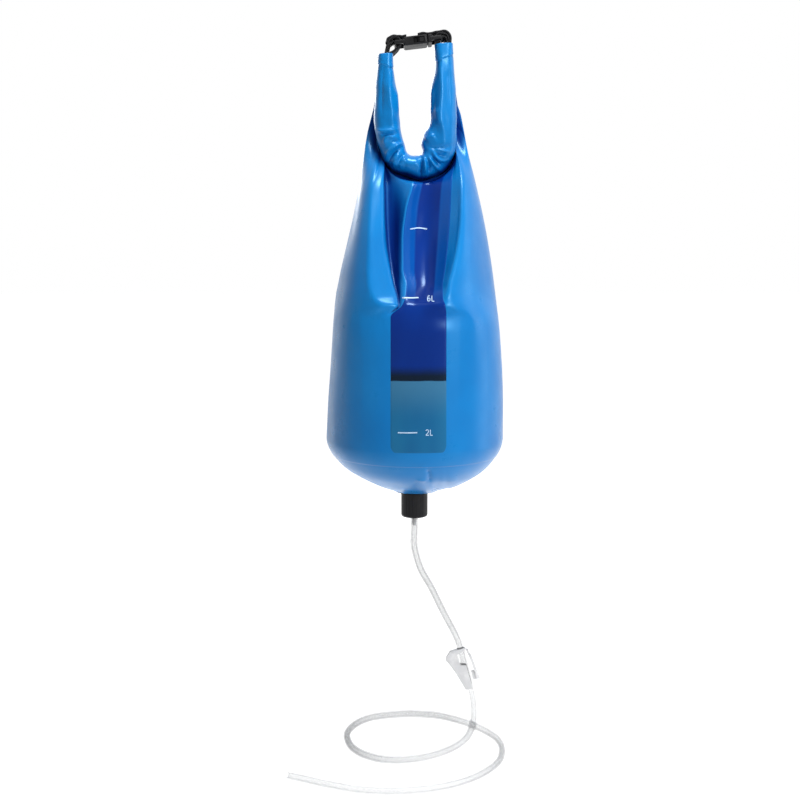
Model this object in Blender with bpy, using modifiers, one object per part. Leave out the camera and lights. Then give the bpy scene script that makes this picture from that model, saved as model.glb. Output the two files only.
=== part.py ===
"""Roll-top gravity water filter: hanging reservoir, filter cartridge, screw outlet, hose and pinch clamp.

Metres, +Z up. The origin is the underside of the buckle, where a hook or branch carries the reservoir.
The bag's front faces -Y.
"""

import math

import bmesh
import bpy
from mathutils import Matrix, Vector

# Material thickness and the clearance between neighbours
FABRIC = 0.0007
GAP = 0.0003

# Reservoir: a tube of coated fabric with a domed round base
BAG_RADIUS = 0.0985
BAG_AXIS_X = -0.0015
EQUATOR_DROP = 0.4245
DOME_DEPTH = 0.065
SEAM_DROP = 0.0195
SEAM_LAP = 0.008
OUTLET_FLAT_RADIUS = 0.0235
COLUMN_TURN = 8.5
SIDE_TURN = 24.0
BACK_VALLEY_TURN = 27.0

# Clear window in the front, and the lap seam at the back
WINDOW_LAP_LEFT = 0.35
WINDOW_LAP_RIGHT = 0.50
WINDOW_LAP_ROW = 0.35
WINDOW_LAP_DOWN = 0.18
WINDOW_BOTTOM = 0.0025
BACK_SEAM_TURN = 276.0
SEAM_TAPE_SPAN = 0.6
SEAM_TAPE_THICKNESS = 0.0005

# Rolled mouth: a spiral of fabric bent into a U, with the buckle across its ends
LOOP_LEFT = 0.0333
LOOP_RIGHT = 0.0300
LOOP_DEPTH = 0.129
LEFT_END_Z = -0.0085
RIGHT_END_Z = 0.0026
ROLL_HALF_THICKNESS = 0.0135
ROLL_HALF_WIDTH = 0.017
ROLL_CORE_WIDTH = 0.0106
ROLL_TURNS = 1.75
ROLL_CORE_SHARE = 0.63
ROLL_POINTS_A_TURN = 12
ROLL_STATIONS = 23
WALL_ANGLE = 40.0
WALL_INSET = 0.012
EDGE_TURN = 7.0

# Stiffener and webbing that leave the roll
STIFFENER_WIDTH = 0.024
STIFFENER_THICKNESS = 0.0012
WEBBING_WIDTH = 0.020
WEBBING_THICKNESS = 0.0013
WEBBING_TUCK = 0.012
WEBBING_LEAN = 0.0008
WEBBING_TURN_SHARE = 0.62
WEBBING_POINTS = 34

# Side-release buckle, in its own frame: X along it, Y its width, Z its thickness
BUCKLE_TILT = 6.5
BUCKLE_WIDTH = 0.028
BUCKLE_THICKNESS = 0.0095
PLUG_INSET = 0.0004
FEMALE_LENGTH = 0.0258
FEMALE_MOUTH = 0.0122
POCKET_DEPTH = 0.0215
POCKET_HALF_WIDTH = 0.0120
POCKET_HALF_HEIGHT = 0.0030
CATCH_WALL = 0.0088
HEAD_LENGTH = 0.0100
HEAD_BULGE = 0.0016
HEAD_CLEARANCE = 0.0016
FRAME_THICKNESS = 0.0044
FRAME_ARM = 0.0032
BAR_LENGTH = 0.0044
SLOT_LENGTH = 0.0060
MALE_BASE = 0.0046
TONGUE_WIDTH = 0.0034
TONGUE_LENGTH = 0.0150
PRONG_WIDTH = 0.0023
PRONG_OFFSET = 0.0077
PRONG_LENGTH = 0.0215
PRONG_ROOT_DEPTH = 0.0020
PRONG_SWING = 14.0
SOCKET_EDGE = 0.0022
PLUG_EDGE = 0.0012
FRAME_EDGE = 0.0014
SOCKET_JOIN = 0.004
PLUG_JOIN = 0.003
TONGUE_JOIN = 0.001
CUT_MARGIN = 0.002

# Screw outlet on the bag's axis
SPIGOT_BORE_RADIUS = 0.0084
NECK_RADIUS = 0.0125
NECK_LENGTH = 0.0110
FLANGE_RADIUS = 0.0220
FLANGE_THICKNESS = 0.0025
COLLAR_RADIUS = 0.0104
COLLAR_HEIGHT = 0.0100
WASHER_THICKNESS = 0.0015
NUT_RADIUS = 0.0150
NUT_HEIGHT = 0.0275
NUT_WALL = 0.0021
NUT_GROOVES = 24
NUT_SOFT = 0.0022
NUT_EDGE = 0.0004
NUT_PLAIN_TOP = 0.0025
GROOVE_RADIUS = 0.0006
TAIL_FLANGE = 0.0020
TAIL_LENGTH = 0.0230
TAIL_WALL = 0.0008
BARBS = 3
BARB_HEIGHT = 0.0004
NUT_TRAVEL = 0.006

# Filter cartridge over the outlet, inside the bag
FILTER_RADIUS = 0.0315
FILTER_PLATE = 0.0070
FILTER_CAP = 0.0050
FILTER_RIM = 0.0055
FILTER_RIM_WALL = 0.0012
FILTER_TAPER = 0.0055
FILTER_LEDGE = 0.0015
FILTER_CHAMFER = 0.002
FILTER_HEIGHT = 0.0380
PLEATS = 28
PLEAT_OUTER = 0.0290
PLEAT_INNER = 0.0155
MEDIA = 0.0006
CORE_RADIUS = 0.0140
CORE_WALL = 0.0013
CORE_SLOT_PAIRS = 3
CORE_MARGIN = 0.005
ORING_SECTION = 0.0007
ORING_SIDES = 6

# Hose: clear tube that hangs, passes the clamp and lies in loops on the floor
HOSE_RADIUS = 0.0045
HOSE_BORE = 0.0030
HOSE_STEP = 0.020
HOSE_SIDES = 8
FLOOR_DROP = 0.792
HOSE_LIFT = 0.0005
HOSE_STUB = 0.006

# Pinch clamp, in its own frame: X to the right, Y up the hose, Z towards the viewer
CLAMP_ENTRY = Vector((0.0541, 0.0400, -0.6851))
CLAMP_EXIT = Vector((0.0658, 0.0325, -0.7302))
CLAMP_WIDTH = 0.013
CLAMP_ARCH = 0.0045
CLAMP_NOSE = 0.0205
CLAMP_FLOOR = 0.0078
ARM_THICKNESS = 0.0028
NUB_LENGTH = 0.0098
ARM_REACH = 0.0356


def clear_scene():
    for obj in list(bpy.data.objects):
        bpy.data.objects.remove(obj, do_unlink=True)


def collection(name):
    made = bpy.data.collections.new(name)
    bpy.context.scene.collection.children.link(made)
    return made


def material(name, colour, roughness, metallic=0.0, alpha=1.0):
    made = bpy.data.materials.new(name)
    made.use_nodes = True
    shader = made.node_tree.nodes["Principled BSDF"]
    shader.inputs["Base Color"].default_value = (*colour, 1.0)
    shader.inputs["Roughness"].default_value = roughness
    shader.inputs["Metallic"].default_value = metallic
    shader.inputs["Alpha"].default_value = alpha
    made.diffuse_color = (*colour, alpha)
    return made


clear_scene()
PARTS = collection("gravity_water_filter")
CUTTERS = collection("cutters")
BLUE_FABRIC = material("blue coated fabric", (0.03, 0.26, 0.72), 0.28)
CLEAR_WINDOW = material("tinted clear film", (0.02, 0.10, 0.42), 0.12, alpha=0.75)
BLACK_PLASTIC = material("black plastic", (0.02, 0.02, 0.022), 0.42)
BLACK_WEBBING = material("black webbing", (0.015, 0.015, 0.017), 0.85)
GREY_STRIP = material("grey stiffener", (0.30, 0.31, 0.33), 0.55)
SEAL_RUBBER = material("seal rubber", (0.05, 0.05, 0.05), 0.80)
CLEAR_HOSE = material("clear hose", (0.86, 0.89, 0.90), 0.10, alpha=0.45)
WHITE_PLASTIC = material("white plastic", (0.90, 0.90, 0.91), 0.40)
FILTER_MEDIA = material("filter paper", (0.88, 0.87, 0.82), 0.90)


def add_object(name, mesh, stuff, frame=None):
    obj = bpy.data.objects.new(name, mesh)
    obj.matrix_world = frame or Matrix()
    if stuff is None:
        CUTTERS.objects.link(obj)
        obj.hide_render = True
        obj.display_type = "WIRE"
    else:
        PARTS.objects.link(obj)
        mesh.materials.clear()
        mesh.materials.append(stuff)
    return obj


def from_bmesh(name, work, stuff, frame=None):
    mesh = bpy.data.meshes.new(name)
    work.to_mesh(mesh)
    work.free()
    return add_object(name, mesh, stuff, frame)


def box(name, low, high, stuff=None, frame=None):
    """A cuboid between two corners."""
    low = Vector(low)
    high = Vector(high)
    work = bmesh.new()
    matrix = Matrix.Translation((low + high) / 2) @ Matrix.Diagonal((*(high - low), 1.0))
    bmesh.ops.create_cube(work, size=1.0, matrix=matrix)
    return from_bmesh(name, work, stuff, frame)


def rod(name, start, end, radius, sides, stuff=None, frame=None):
    """A round bar between two points."""
    start = Vector(start)
    end = Vector(end)
    turn = (end - start).to_track_quat("Z", "Y").to_matrix().to_4x4()
    work = bmesh.new()
    matrix = Matrix.Translation((start + end) / 2) @ turn
    length = (end - start).length
    bmesh.ops.create_cone(
        work, cap_ends=True, segments=sides, radius1=radius, radius2=radius, depth=length, matrix=matrix
    )
    return from_bmesh(name, work, stuff, frame)


def turned(name, profile, stuff, steps=48, closed=True, frame=None):
    """A revolve of (radius, z) points that run down the outer side."""
    mesh = bpy.data.meshes.new(name)
    count = len(profile)
    edges = [(i, i + 1) for i in range(count - 1)]
    if closed:
        edges.append((count - 1, 0))
    mesh.from_pydata([(r, 0.0, z) for r, z in profile], edges, [])
    obj = add_object(name, mesh, stuff, frame)
    screw = obj.modifiers.new("Screw", "SCREW")
    screw.steps = steps
    screw.render_steps = steps
    screw.use_merge_vertices = True
    screw.merge_threshold = 0.00001
    screw.use_smooth_shade = True
    return obj


def extruded(name, outline, thickness, stuff=None, frame=None):
    """A flat outline in X and Y, given thickness both ways along Z."""
    curve = bpy.data.curves.new(name, "CURVE")
    curve.dimensions = "2D"
    curve.fill_mode = "BOTH"
    curve.extrude = thickness / 2
    spline = curve.splines.new("POLY")
    spline.points.add(len(outline) - 1)
    for point, place in zip(spline.points, outline):
        point.co = (place[0], place[1], 0.0, 1.0)
    spline.use_cyclic_u = True
    return curve_to_mesh(name, curve, stuff, frame)


def curve_to_mesh(name, curve, stuff, frame=None):
    """The solid of a curve as a mesh object, with its caps welded on."""
    source = bpy.data.objects.new(name + "_curve", curve)
    bpy.context.scene.collection.objects.link(source)
    source.matrix_world = frame or Matrix()
    bpy.context.view_layer.update()
    evaluated = source.evaluated_get(bpy.context.evaluated_depsgraph_get())
    mesh = bpy.data.meshes.new_from_object(evaluated)
    work = bmesh.new()
    work.from_mesh(mesh)
    bmesh.ops.remove_doubles(work, verts=work.verts, dist=0.00001)
    work.to_mesh(mesh)
    work.free()
    world = source.matrix_world.copy()
    bpy.data.objects.remove(source, do_unlink=True)
    return add_object(name, mesh, stuff, world)


def rings_mesh(name, rings, stuff, closed_rings=True, caps=False, cyclic=False, holes=()):
    """Faces between rings of points, leaving out the (ring, column) pairs in holes."""
    size = len(rings[0])
    points = [tuple(point) for ring in rings for point in ring]
    faces = []
    last_ring = len(rings) if cyclic else len(rings) - 1
    for i in range(last_ring):
        for k in range(size if closed_rings else size - 1):
            if (i, k) in holes:
                continue
            a = i * size + k
            b = i * size + (k + 1) % size
            shift = ((i + 1) % len(rings)) * size - i * size
            faces.append((a, a + shift, b + shift, b))
    if caps:
        faces.append(tuple(reversed(range(size))))
        faces.append(tuple(range((len(rings) - 1) * size, len(rings) * size)))
    mesh = bpy.data.meshes.new(name)
    mesh.from_pydata(points, [], faces)
    work = bmesh.new()
    work.from_mesh(mesh)
    loose = [vert for vert in work.verts if not vert.link_faces]
    bmesh.ops.delete(work, geom=loose, context="VERTS")
    if caps:
        bmesh.ops.recalc_face_normals(work, faces=work.faces)
    work.to_mesh(mesh)
    work.free()
    return add_object(name, mesh, stuff)


def boolean(target, tool, operation="DIFFERENCE"):
    cut = target.modifiers.new(tool.name, "BOOLEAN")
    cut.operation = operation
    cut.object = tool
    return target


def rounded(obj, width, segments=2, angle=35.0):
    bevel = obj.modifiers.new("Bevel", "BEVEL")
    bevel.width = width
    bevel.segments = segments
    bevel.limit_method = "ANGLE"
    bevel.angle_limit = math.radians(angle)
    return obj


def thickened(obj, thickness, even=False):
    """A shell that grows inwards from an open surface."""
    solid = obj.modifiers.new("Solidify", "SOLIDIFY")
    solid.thickness = thickness
    solid.offset = -1.0
    solid.use_even_offset = even
    return obj


def smooth_shaded(obj, angle=40.0):
    obj.data.shade_smooth()
    obj.data.set_sharp_from_angle(angle=math.radians(angle))
    return obj


def spline(points, share):
    """A Catmull-Rom curve through points of any dimension, at a share of its spans."""
    spans = len(points) - 1
    place = min(max(share, 0.0), 1.0) * spans
    i = min(int(place), spans - 1)
    t = place - i
    p1 = points[i]
    p2 = points[i + 1]
    p0 = points[i - 1] if i > 0 else [2 * a - b for a, b in zip(p1, p2)]
    p3 = points[i + 2] if i + 2 <= spans else [2 * b - a for a, b in zip(p1, p2)]
    result = []
    for a, b, c, d in zip(p0, p1, p2, p3):
        bend = (2 * a - 5 * b + 4 * c - d) * t * t + (3 * b - a - 3 * c + d) * t * t * t
        result.append(b + 0.5 * ((c - a) * t + bend))
    return result


def even_points(points, step=None, count=None, samples=600):
    """Points spaced evenly along the smooth curve through the given ones."""
    fine = [Vector(spline(points, k / samples)) for k in range(samples + 1)]
    lengths = [0.0]
    for a, b in zip(fine, fine[1:]):
        lengths.append(lengths[-1] + (b - a).length)
    spans = (count - 1) if count else max(2, round(lengths[-1] / step))
    result = []
    k = 0
    for i in range(spans + 1):
        wanted = lengths[-1] * i / spans
        while k < samples - 1 and lengths[k + 1] < wanted:
            k += 1
        share = (wanted - lengths[k]) / (lengths[k + 1] - lengths[k])
        result.append(fine[k].lerp(fine[k + 1], share))
    return result


# The rolled mouth

# Shares of the loop's half span, of its depth and of the roll's half thickness, left end to right end
ROLL_PATH = (
    (-1.00, None, 0.57),
    (-1.00, 0.31, 0.88),
    (-1.00, 0.60, 0.94),
    (-0.93, 0.76, 0.98),
    (-0.72, 0.89, 1.00),
    (-0.35, 0.975, 1.00),
    (0.02, 1.00, 1.00),
    (0.45, 0.985, 1.05),
    (0.78, 0.895, 1.18),
    (0.92, 0.775, 1.28),
    (0.99, 0.58, 1.08),
    (1.00, 0.30, 1.00),
    (1.00, None, 0.69),
)


def roll_path():
    """(x, z, half thickness) of the roll's middle line."""
    points = []
    for across, down, thick in ROLL_PATH:
        x = across * (LOOP_LEFT if across < 0 else LOOP_RIGHT)
        end = LEFT_END_Z if across < 0 else RIGHT_END_Z
        z = end if down is None else -down * LOOP_DEPTH
        points.append((x, z, thick * ROLL_HALF_THICKNESS))
    return points


ROLL_LINE = roll_path()


def roll_frame(share):
    """Middle point, outward direction and half thickness of the roll at a share of its length."""
    x, z, thick = spline(ROLL_LINE, share)
    before = spline(ROLL_LINE, share - 0.004)
    after = spline(ROLL_LINE, share + 0.004)
    along = Vector((after[0] - before[0], 0.0, after[1] - before[1])).normalized()
    outward = Vector((along.z, 0.0, -along.x))
    return Vector((x, 0.0, z)), outward, thick


def flatness(share):
    """The roll's section is nearly a rectangle at its ends and an oval in the middle."""
    return 2.4 + 1.3 * abs(2 * share - 1) ** 3


def section_point(share, turn, layer):
    """(outward, across) of the roll's section at an angle in radians, for a layer from 0 to 1."""
    power = 2.0 / flatness(share)
    thick = roll_frame(share)[2]
    width = ROLL_CORE_WIDTH + (ROLL_HALF_WIDTH - ROLL_CORE_WIDTH) * layer
    cosine = math.cos(turn)
    sine = math.sin(turn)
    outward = math.copysign(abs(cosine) ** power, cosine) * thick * layer
    across = math.copysign(abs(sine) ** power, sine) * width
    return Vector((outward, across))


def roll_place(share, offset):
    """A section offset at its real place."""
    middle, outward, _ = roll_frame(share)
    return middle + outward * offset.x - Vector((0.0, offset.y, 0.0))


def spiral_section(share):
    """The cut through the rolled fabric: one long strip with thickness, wound towards its core."""
    count = round(ROLL_TURNS * ROLL_POINTS_A_TURN)
    line = []
    for k in range(count + 1):
        layer = 1.0 - (1.0 - ROLL_CORE_SHARE) * k / count
        line.append(section_point(share, 2 * math.pi * k / ROLL_POINTS_A_TURN, layer))
    outer = []
    inner = []
    for k, point in enumerate(line):
        before = line[max(k - 1, 0)]
        after = line[min(k + 1, count)]
        along = (after - before).normalized()
        side = Vector((along.y, -along.x)) * FABRIC / 2
        outer.append(roll_place(share, point + side))
        inner.append(roll_place(share, point - side))
    return outer + inner[::-1]


def make_roll():
    shares = [k / (ROLL_STATIONS - 1) for k in range(ROLL_STATIONS)]
    rings = [spiral_section(share) for share in shares]
    smooth_shaded(rings_mesh("roll_top", rings, BLUE_FABRIC, caps=True))


def make_stiffener():
    """A flat strip in the core of the roll, which keeps the mouth straight until it is bent round."""
    rings = []
    half = STIFFENER_THICKNESS / 2
    edge = STIFFENER_WIDTH / 2
    for k in range(ROLL_STATIONS):
        share = 0.015 + 0.97 * k / (ROLL_STATIONS - 1)
        corners = ((half, edge), (half, -edge), (-half, -edge), (-half, edge))
        rings.append([roll_place(share, Vector(corner)) for corner in corners])
    rings_mesh("stiffener_strip", rings, GREY_STRIP, caps=True)


# The reservoir

# Where the side folds out of the roll: shares of the fall to the widest circle,
# with the share of the way out
SIDE_FALL = (
    (0.0, 0.0),
    (0.035, 0.055),
    (0.07, 0.092),
    (0.14, 0.125),
    (0.32, 0.39),
    (0.525, 0.71),
    (0.74, 0.895),
    (1.0, 1.0),
)
RIDGE_FALL = ((0.0, 0.0), (0.10, 0.34), (0.21, 0.60), (0.45, 0.84), (0.70, 0.94), (1.0, 1.0))
# Turn of each form round the bag, in degrees from the left edge: front folds first, then the back
FRONT_TURNS = (0.0, 25.0, 49.0, 61.0, 66.0, 69.0, 70.5, 72.0, 85.0, 97.0, 112.0, 117.0, 134.0, 157.0)
BACK_TURNS = (180.0, 204.0, 228.0, 252.0, 276.0, 300.0, 322.0, 341.0)
TURNS = FRONT_TURNS + BACK_TURNS
FORMS = len(TURNS)
WINDOW_LEFT = 7
WINDOW_RIGHT = 10
# Sections through the folds: share of the way from the roll to the widest circle, reach of the back and
# depth of the valley in it, and (x, y) of the front forms, left edge to right edge, in shares of the radius
FOLDS = (
    (
        0.0,
        (0.40, 0.60),
        ((-0.61, 0.0), (-0.59, -0.18), (-0.53, -0.31), (-0.48, -0.37), (-0.40, -0.38))
        + ((-0.34, -0.34), (-0.31, -0.14), (-0.02, -0.28), (0.07, -0.19), (0.15, -0.17))
        + ((0.40, -0.30), (0.49, -0.39), (0.58, -0.31), (0.65, -0.16), (0.68, 0.0)),
    ),
    (
        0.21,
        (0.69, 0.42),
        ((-0.75, 0.0), (-0.70, -0.32), (-0.61, -0.58), (-0.49, -0.69), (-0.39, -0.65))
        + ((-0.32, -0.59), (-0.29, -0.36), (-0.14, -0.50), (0.02, -0.40), (0.13, -0.38))
        + ((0.36, -0.57), (0.45, -0.69), (0.58, -0.58), (0.74, -0.29), (0.81, 0.0)),
    ),
    (
        0.39,
        (0.89, 0.20),
        ((-0.86, 0.0), (-0.80, -0.41), (-0.65, -0.74), (-0.49, -0.88), (-0.37, -0.85))
        + ((-0.24, -0.80), (-0.22, -0.67), (-0.10, -0.78), (0.01, -0.70), (0.11, -0.68))
        + ((0.29, -0.83), (0.34, -0.89), (0.53, -0.77), (0.77, -0.40), (0.89, 0.0)),
    ),
    (
        0.47,
        (0.96, 0.05),
        ((-0.90, 0.0), (-0.83, -0.44), (-0.64, -0.81), (-0.38, -0.965), (-0.29, -0.96))
        + ((-0.21, -0.945), (-0.18, -0.91), (-0.14, -0.935), (-0.01, -0.945), (0.11, -0.95))
        + ((0.30, -0.955), (0.37, -0.95), (0.52, -0.85), (0.79, -0.45), (0.92, 0.0)),
    ),
)
# Plain sections below the folds: share of the way down, then left, right and
# front reach in shares of the radius
PLAIN = (
    (0.51, 0.905, 0.93, 0.975),
    (0.60, 0.92, 0.955, 0.99),
    (0.78, 0.96, 0.985, 1.0),
    (1.0, 1.0, 1.0, 1.0),
)
FOLD_TOP = LOOP_DEPTH + ROLL_HALF_THICKNESS + 0.005
SEAM_ANGLE = math.asin(SEAM_DROP / DOME_DEPTH)


def fall(points, share):
    """The way out at a share of the fall, read smoothly between the given points."""
    for (a, out_a), (b, out_b) in zip(points, points[1:]):
        if share <= b:
            t = (share - a) / (b - a)
            k = points.index((a, out_a))
            slopes = [(q[1] - p[1]) / (q[0] - p[0]) for p, q in zip(points, points[1:])]
            start = slopes[k] if k == 0 else (slopes[k - 1] + slopes[k]) / 2
            end = slopes[k] if k == len(slopes) - 1 else (slopes[k] + slopes[k + 1]) / 2
            span = b - a
            ease = t * t * (3 - 2 * t)
            lead = t * (1 - t) * (1 - t) * start * span
            tail = t * t * (t - 1) * end * span
            return out_a + (out_b - out_a) * ease + lead + tail
    return points[-1][1]


def smooth_step(value):
    share = min(max(value, 0.0), 1.0)
    return share * share * (3 - 2 * share)


def place_turn(place):
    """Degrees round the bag of a place counted in forms from the left edge."""
    i = math.floor(place)
    here = TURNS[i % FORMS]
    ahead = TURNS[(i + 1) % FORMS]
    return here + (ahead - here) % 360 * (place - i)


def top_edge(degrees):
    """Where the bag's wall leaves the roll: 0 at the left edge, 90 in front, 180 right, 270 behind."""
    front = 1.0 if degrees % 360 <= 180 else -1.0
    around = degrees % 360 if front > 0 else 360 - degrees % 360
    if around < EDGE_TURN:
        share = 0.0
        angle = WALL_ANGLE * around / EDGE_TURN
    elif around > 180 - EDGE_TURN:
        share = 1.0
        angle = WALL_ANGLE * (180 - around) / EDGE_TURN
    else:
        share = (around - EDGE_TURN) / (180 - 2 * EDGE_TURN)
        angle = WALL_ANGLE
    share = WALL_INSET + (1 - 2 * WALL_INSET) * share
    thick = roll_frame(share)[2]
    layer = 1.0 + (FABRIC + 3 * GAP) / thick
    return roll_place(share, section_point(share, math.radians(angle) * front, layer))


def fold_section(k):
    """(x, y) in metres of every form on a section through the folds."""
    _, (reach, valley), front = FOLDS[k]
    points = [(BAG_AXIS_X + BAG_RADIUS * x, BAG_RADIUS * y) for x, y in front]
    left = points[0][0]
    right = points[-1][0]
    for degrees in BACK_TURNS[1:]:
        turn = math.radians(degrees - 180)
        dip = 1 - valley * math.exp(-(((degrees - 270) / BACK_VALLEY_TURN) ** 2))
        x = (left + right) / 2 + (right - left) / 2 * math.cos(turn)
        points.append((x, BAG_RADIUS * reach * math.sin(turn) * dip))
    return points


def plain_section(k):
    """(x, y) in metres of every form on a section below the folds."""
    _, left, right, front = PLAIN[k]
    points = []
    for degrees in TURNS:
        turn = math.radians(degrees)
        middle = (right - left) / 2
        half = (right + left) / 2
        x = BAG_AXIS_X + BAG_RADIUS * (middle - half * math.cos(turn))
        points.append((x, -BAG_RADIUS * front * math.sin(turn)))
    return points


SECTION_SHARES = [fold[0] for fold in FOLDS] + [plain[0] for plain in PLAIN]
SECTIONS = [fold_section(k) for k in range(len(FOLDS))] + [plain_section(k) for k in range(len(PLAIN))]


def around_section(points, place):
    """A smooth reading between the forms of a section, which closes on itself."""
    i = math.floor(place)
    t = place - i
    near = [points[(i + k) % FORMS] for k in (-1, 0, 1, 2)]
    return spline(near, (1 + t) / 3)


def section_at(place, drop):
    """(x, y) of the bag's surface at a place round it and a drop below the buckle."""
    share = (drop - FOLD_TOP) / (EQUATOR_DROP - FOLD_TOP)
    columns = [around_section(points, place) for points in SECTIONS]
    result = []
    for axis in range(2):
        line = tuple((s, column[axis]) for s, column in zip(SECTION_SHARES, columns))
        result.append(fall(line, max(share, 0.0)))
    return Vector(result)


def bag_point(place, down):
    """The bag's outer surface. down is 0 at the roll, 1 at the widest circle and 2 at the base seam."""
    degrees = place_turn(place)
    turn = math.radians(degrees)
    if down >= 1.0:
        return dome_point(turn, (down - 1.0) * SEAM_ANGLE, 0.0)
    top = top_edge(degrees)
    drop = -top.z + (EQUATOR_DROP + top.z) * down
    if drop >= FOLD_TOP:
        flat = section_at(place, drop)
        return Vector((flat.x, flat.y, -drop))
    first = (FOLD_TOP + top.z) / (EQUATOR_DROP + top.z)
    upper = side_fall(place, top, down)
    change = section_at(place, FOLD_TOP) - side_fall(place, top, first)
    flat = upper + change * smooth_step(down / first)
    return Vector((flat.x, flat.y, -drop))


def side_fall(place, top, down):
    """(x, y) of the wall between the roll and the first fold section."""
    turn = math.radians(place_turn(place))
    around = math.degrees(turn) % 180
    side = math.exp(-((min(around, 180 - around) / SIDE_TURN) ** 2))
    out = side * fall(SIDE_FALL, down) + (1 - side) * fall(RIDGE_FALL, down)
    return top.xy.lerp(dome_point(turn, 0.0, 0.0).xy, out)


def dome_point(turn, angle, inset):
    """A point of the base's dome, or of a smaller one inside it."""
    radius = (BAG_RADIUS - inset) * math.cos(angle)
    drop = EQUATOR_DROP + (DOME_DEPTH - inset) * math.sin(angle)
    return Vector((BAG_AXIS_X - radius * math.cos(turn), -radius * math.sin(turn), -drop))


def bag_normal(place, down):
    """Outward normal of the bag's surface."""
    aside = 0.06
    step = 0.01
    across = bag_point(place + aside, down) - bag_point(place - aside, down)
    along = bag_point(place, min(down + step, 2.0)) - bag_point(place, max(down - step, 0.0))
    return along.cross(across).normalized()


def bag_places():
    """Places of the mesh's columns: each form, and more between forms that stand far apart."""
    places = []
    for i in range(FORMS):
        span = (TURNS[(i + 1) % FORMS] - TURNS[i]) % 360
        count = max(1, math.ceil(span / COLUMN_TURN))
        places.extend(i + k / count for k in range(count))
    return places


PLACES = bag_places()


def window_bottom():
    """The down value at the window's lower edge."""
    return 1.0 + math.asin(WINDOW_BOTTOM / DOME_DEPTH) / SEAM_ANGLE


def bag_rows():
    neck = [0.0, 0.035, 0.07, 0.12, 0.18, 0.24]
    folds = [0.30, 0.345, 0.38, 0.41, 0.44, 0.465, 0.49, 0.52, 0.56]
    return neck + folds + [0.64, 0.75, 0.87, 1.0, window_bottom(), 1.6, 2.0]


WINDOW_TOP_ROW = 3


def make_bag_wall():
    rows = bag_rows()
    rings = [[bag_point(place, row) for place in PLACES] for row in rows]
    last = rows.index(window_bottom())
    first = PLACES.index(WINDOW_LEFT)
    final = PLACES.index(WINDOW_RIGHT)
    holes = {(i, k) for i in range(WINDOW_TOP_ROW, last) for k in range(first, final)}
    wall = rings_mesh("bag_wall", rings, BLUE_FABRIC, holes=holes)
    thickened(smooth_shaded(wall), FABRIC)


def make_window():
    """A clear panel welded behind the opening, with a lap all round."""
    rows = bag_rows()
    last = rows.index(window_bottom())
    first = rows[WINDOW_TOP_ROW] * (1 - WINDOW_LAP_ROW) + rows[WINDOW_TOP_ROW - 1] * WINDOW_LAP_ROW
    downs = [first, *rows[WINDOW_TOP_ROW:last], window_bottom(), window_bottom() + WINDOW_LAP_DOWN]
    middles = [place for place in PLACES if WINDOW_LEFT <= place <= WINDOW_RIGHT]
    places = [WINDOW_LEFT - WINDOW_LAP_LEFT, *middles, WINDOW_RIGHT + WINDOW_LAP_RIGHT]
    rings = []
    for down in downs:
        inset = FABRIC + 5 * GAP
        rings.append([bag_point(place, down) - bag_normal(place, down) * inset for place in places])
    panel = rings_mesh("window_panel", rings, CLEAR_WINDOW, closed_rings=False)
    thickened(smooth_shaded(panel), FABRIC)


def make_back_seam():
    """The tape over the lap that closes the fabric into a tube."""
    rings = []
    middle = TURNS.index(BACK_SEAM_TURN)
    for down in bag_rows()[3:]:
        ring = []
        for place in (middle, middle + SEAM_TAPE_SPAN / 2, middle + SEAM_TAPE_SPAN):
            lift = GAP * 1.6 + SEAM_TAPE_THICKNESS
            ring.append(bag_point(place, down) + bag_normal(place, down) * lift)
        rings.append(ring)
    tape = rings_mesh("back_seam_tape", rings, BLUE_FABRIC, closed_rings=False)
    thickened(smooth_shaded(tape), SEAM_TAPE_THICKNESS)


def base_inset():
    """The base lies inside the wall, with a lap seam between them."""
    return FABRIC + GAP


def outlet_flat_z():
    """Height of the flat round the outlet, on the base's outer face."""
    share = OUTLET_FLAT_RADIUS / (BAG_RADIUS - base_inset())
    return -(EQUATOR_DROP + (DOME_DEPTH - base_inset()) * math.sqrt(1 - share * share))


def make_base():
    """The domed round base, from its lap inside the wall to the hole for the outlet's neck."""
    inset = base_inset()
    lap_angle = SEAM_ANGLE - SEAM_LAP / DOME_DEPTH
    flat_angle = math.acos(OUTLET_FLAT_RADIUS / (BAG_RADIUS - inset))
    count = 6
    profile = []
    for k in range(count + 1):
        place = dome_point(math.pi, lap_angle + (flat_angle - lap_angle) * k / count, inset)
        profile.append((place.x - BAG_AXIS_X, place.z))
    profile.append((NECK_RADIUS + GAP, outlet_flat_z()))
    frame = Matrix.Translation((BAG_AXIS_X, 0.0, 0.0))
    base = turned("bag_base", profile, BLUE_FABRIC, steps=36, closed=False, frame=frame)
    thickened(base, FABRIC)


# The screw outlet


def outlet_levels():
    """Heights of the outlet's pieces, from the flange inside the bag to the nut's lower face."""
    flange_bottom = outlet_flat_z() + FABRIC + GAP
    nut_top = outlet_flat_z() - 2 * GAP
    neck_bottom = nut_top - NECK_LENGTH
    washer_top = neck_bottom - GAP
    tail_top = washer_top - WASHER_THICKNESS - GAP
    ledge = tail_top - TAIL_FLANGE - GAP
    return {
        "flange_bottom": flange_bottom,
        "flange_top": flange_bottom + FLANGE_THICKNESS,
        "nut_top": nut_top,
        "neck_bottom": neck_bottom,
        "washer_top": washer_top,
        "tail_top": tail_top,
        "ledge": ledge,
        "nut_bottom": nut_top - NUT_HEIGHT,
        "hose_top": tail_top - TAIL_FLANGE - NUT_TRAVEL - GAP,
    }


LEVELS = outlet_levels()
AXIS = Matrix.Translation((BAG_AXIS_X, 0.0, 0.0))


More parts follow.
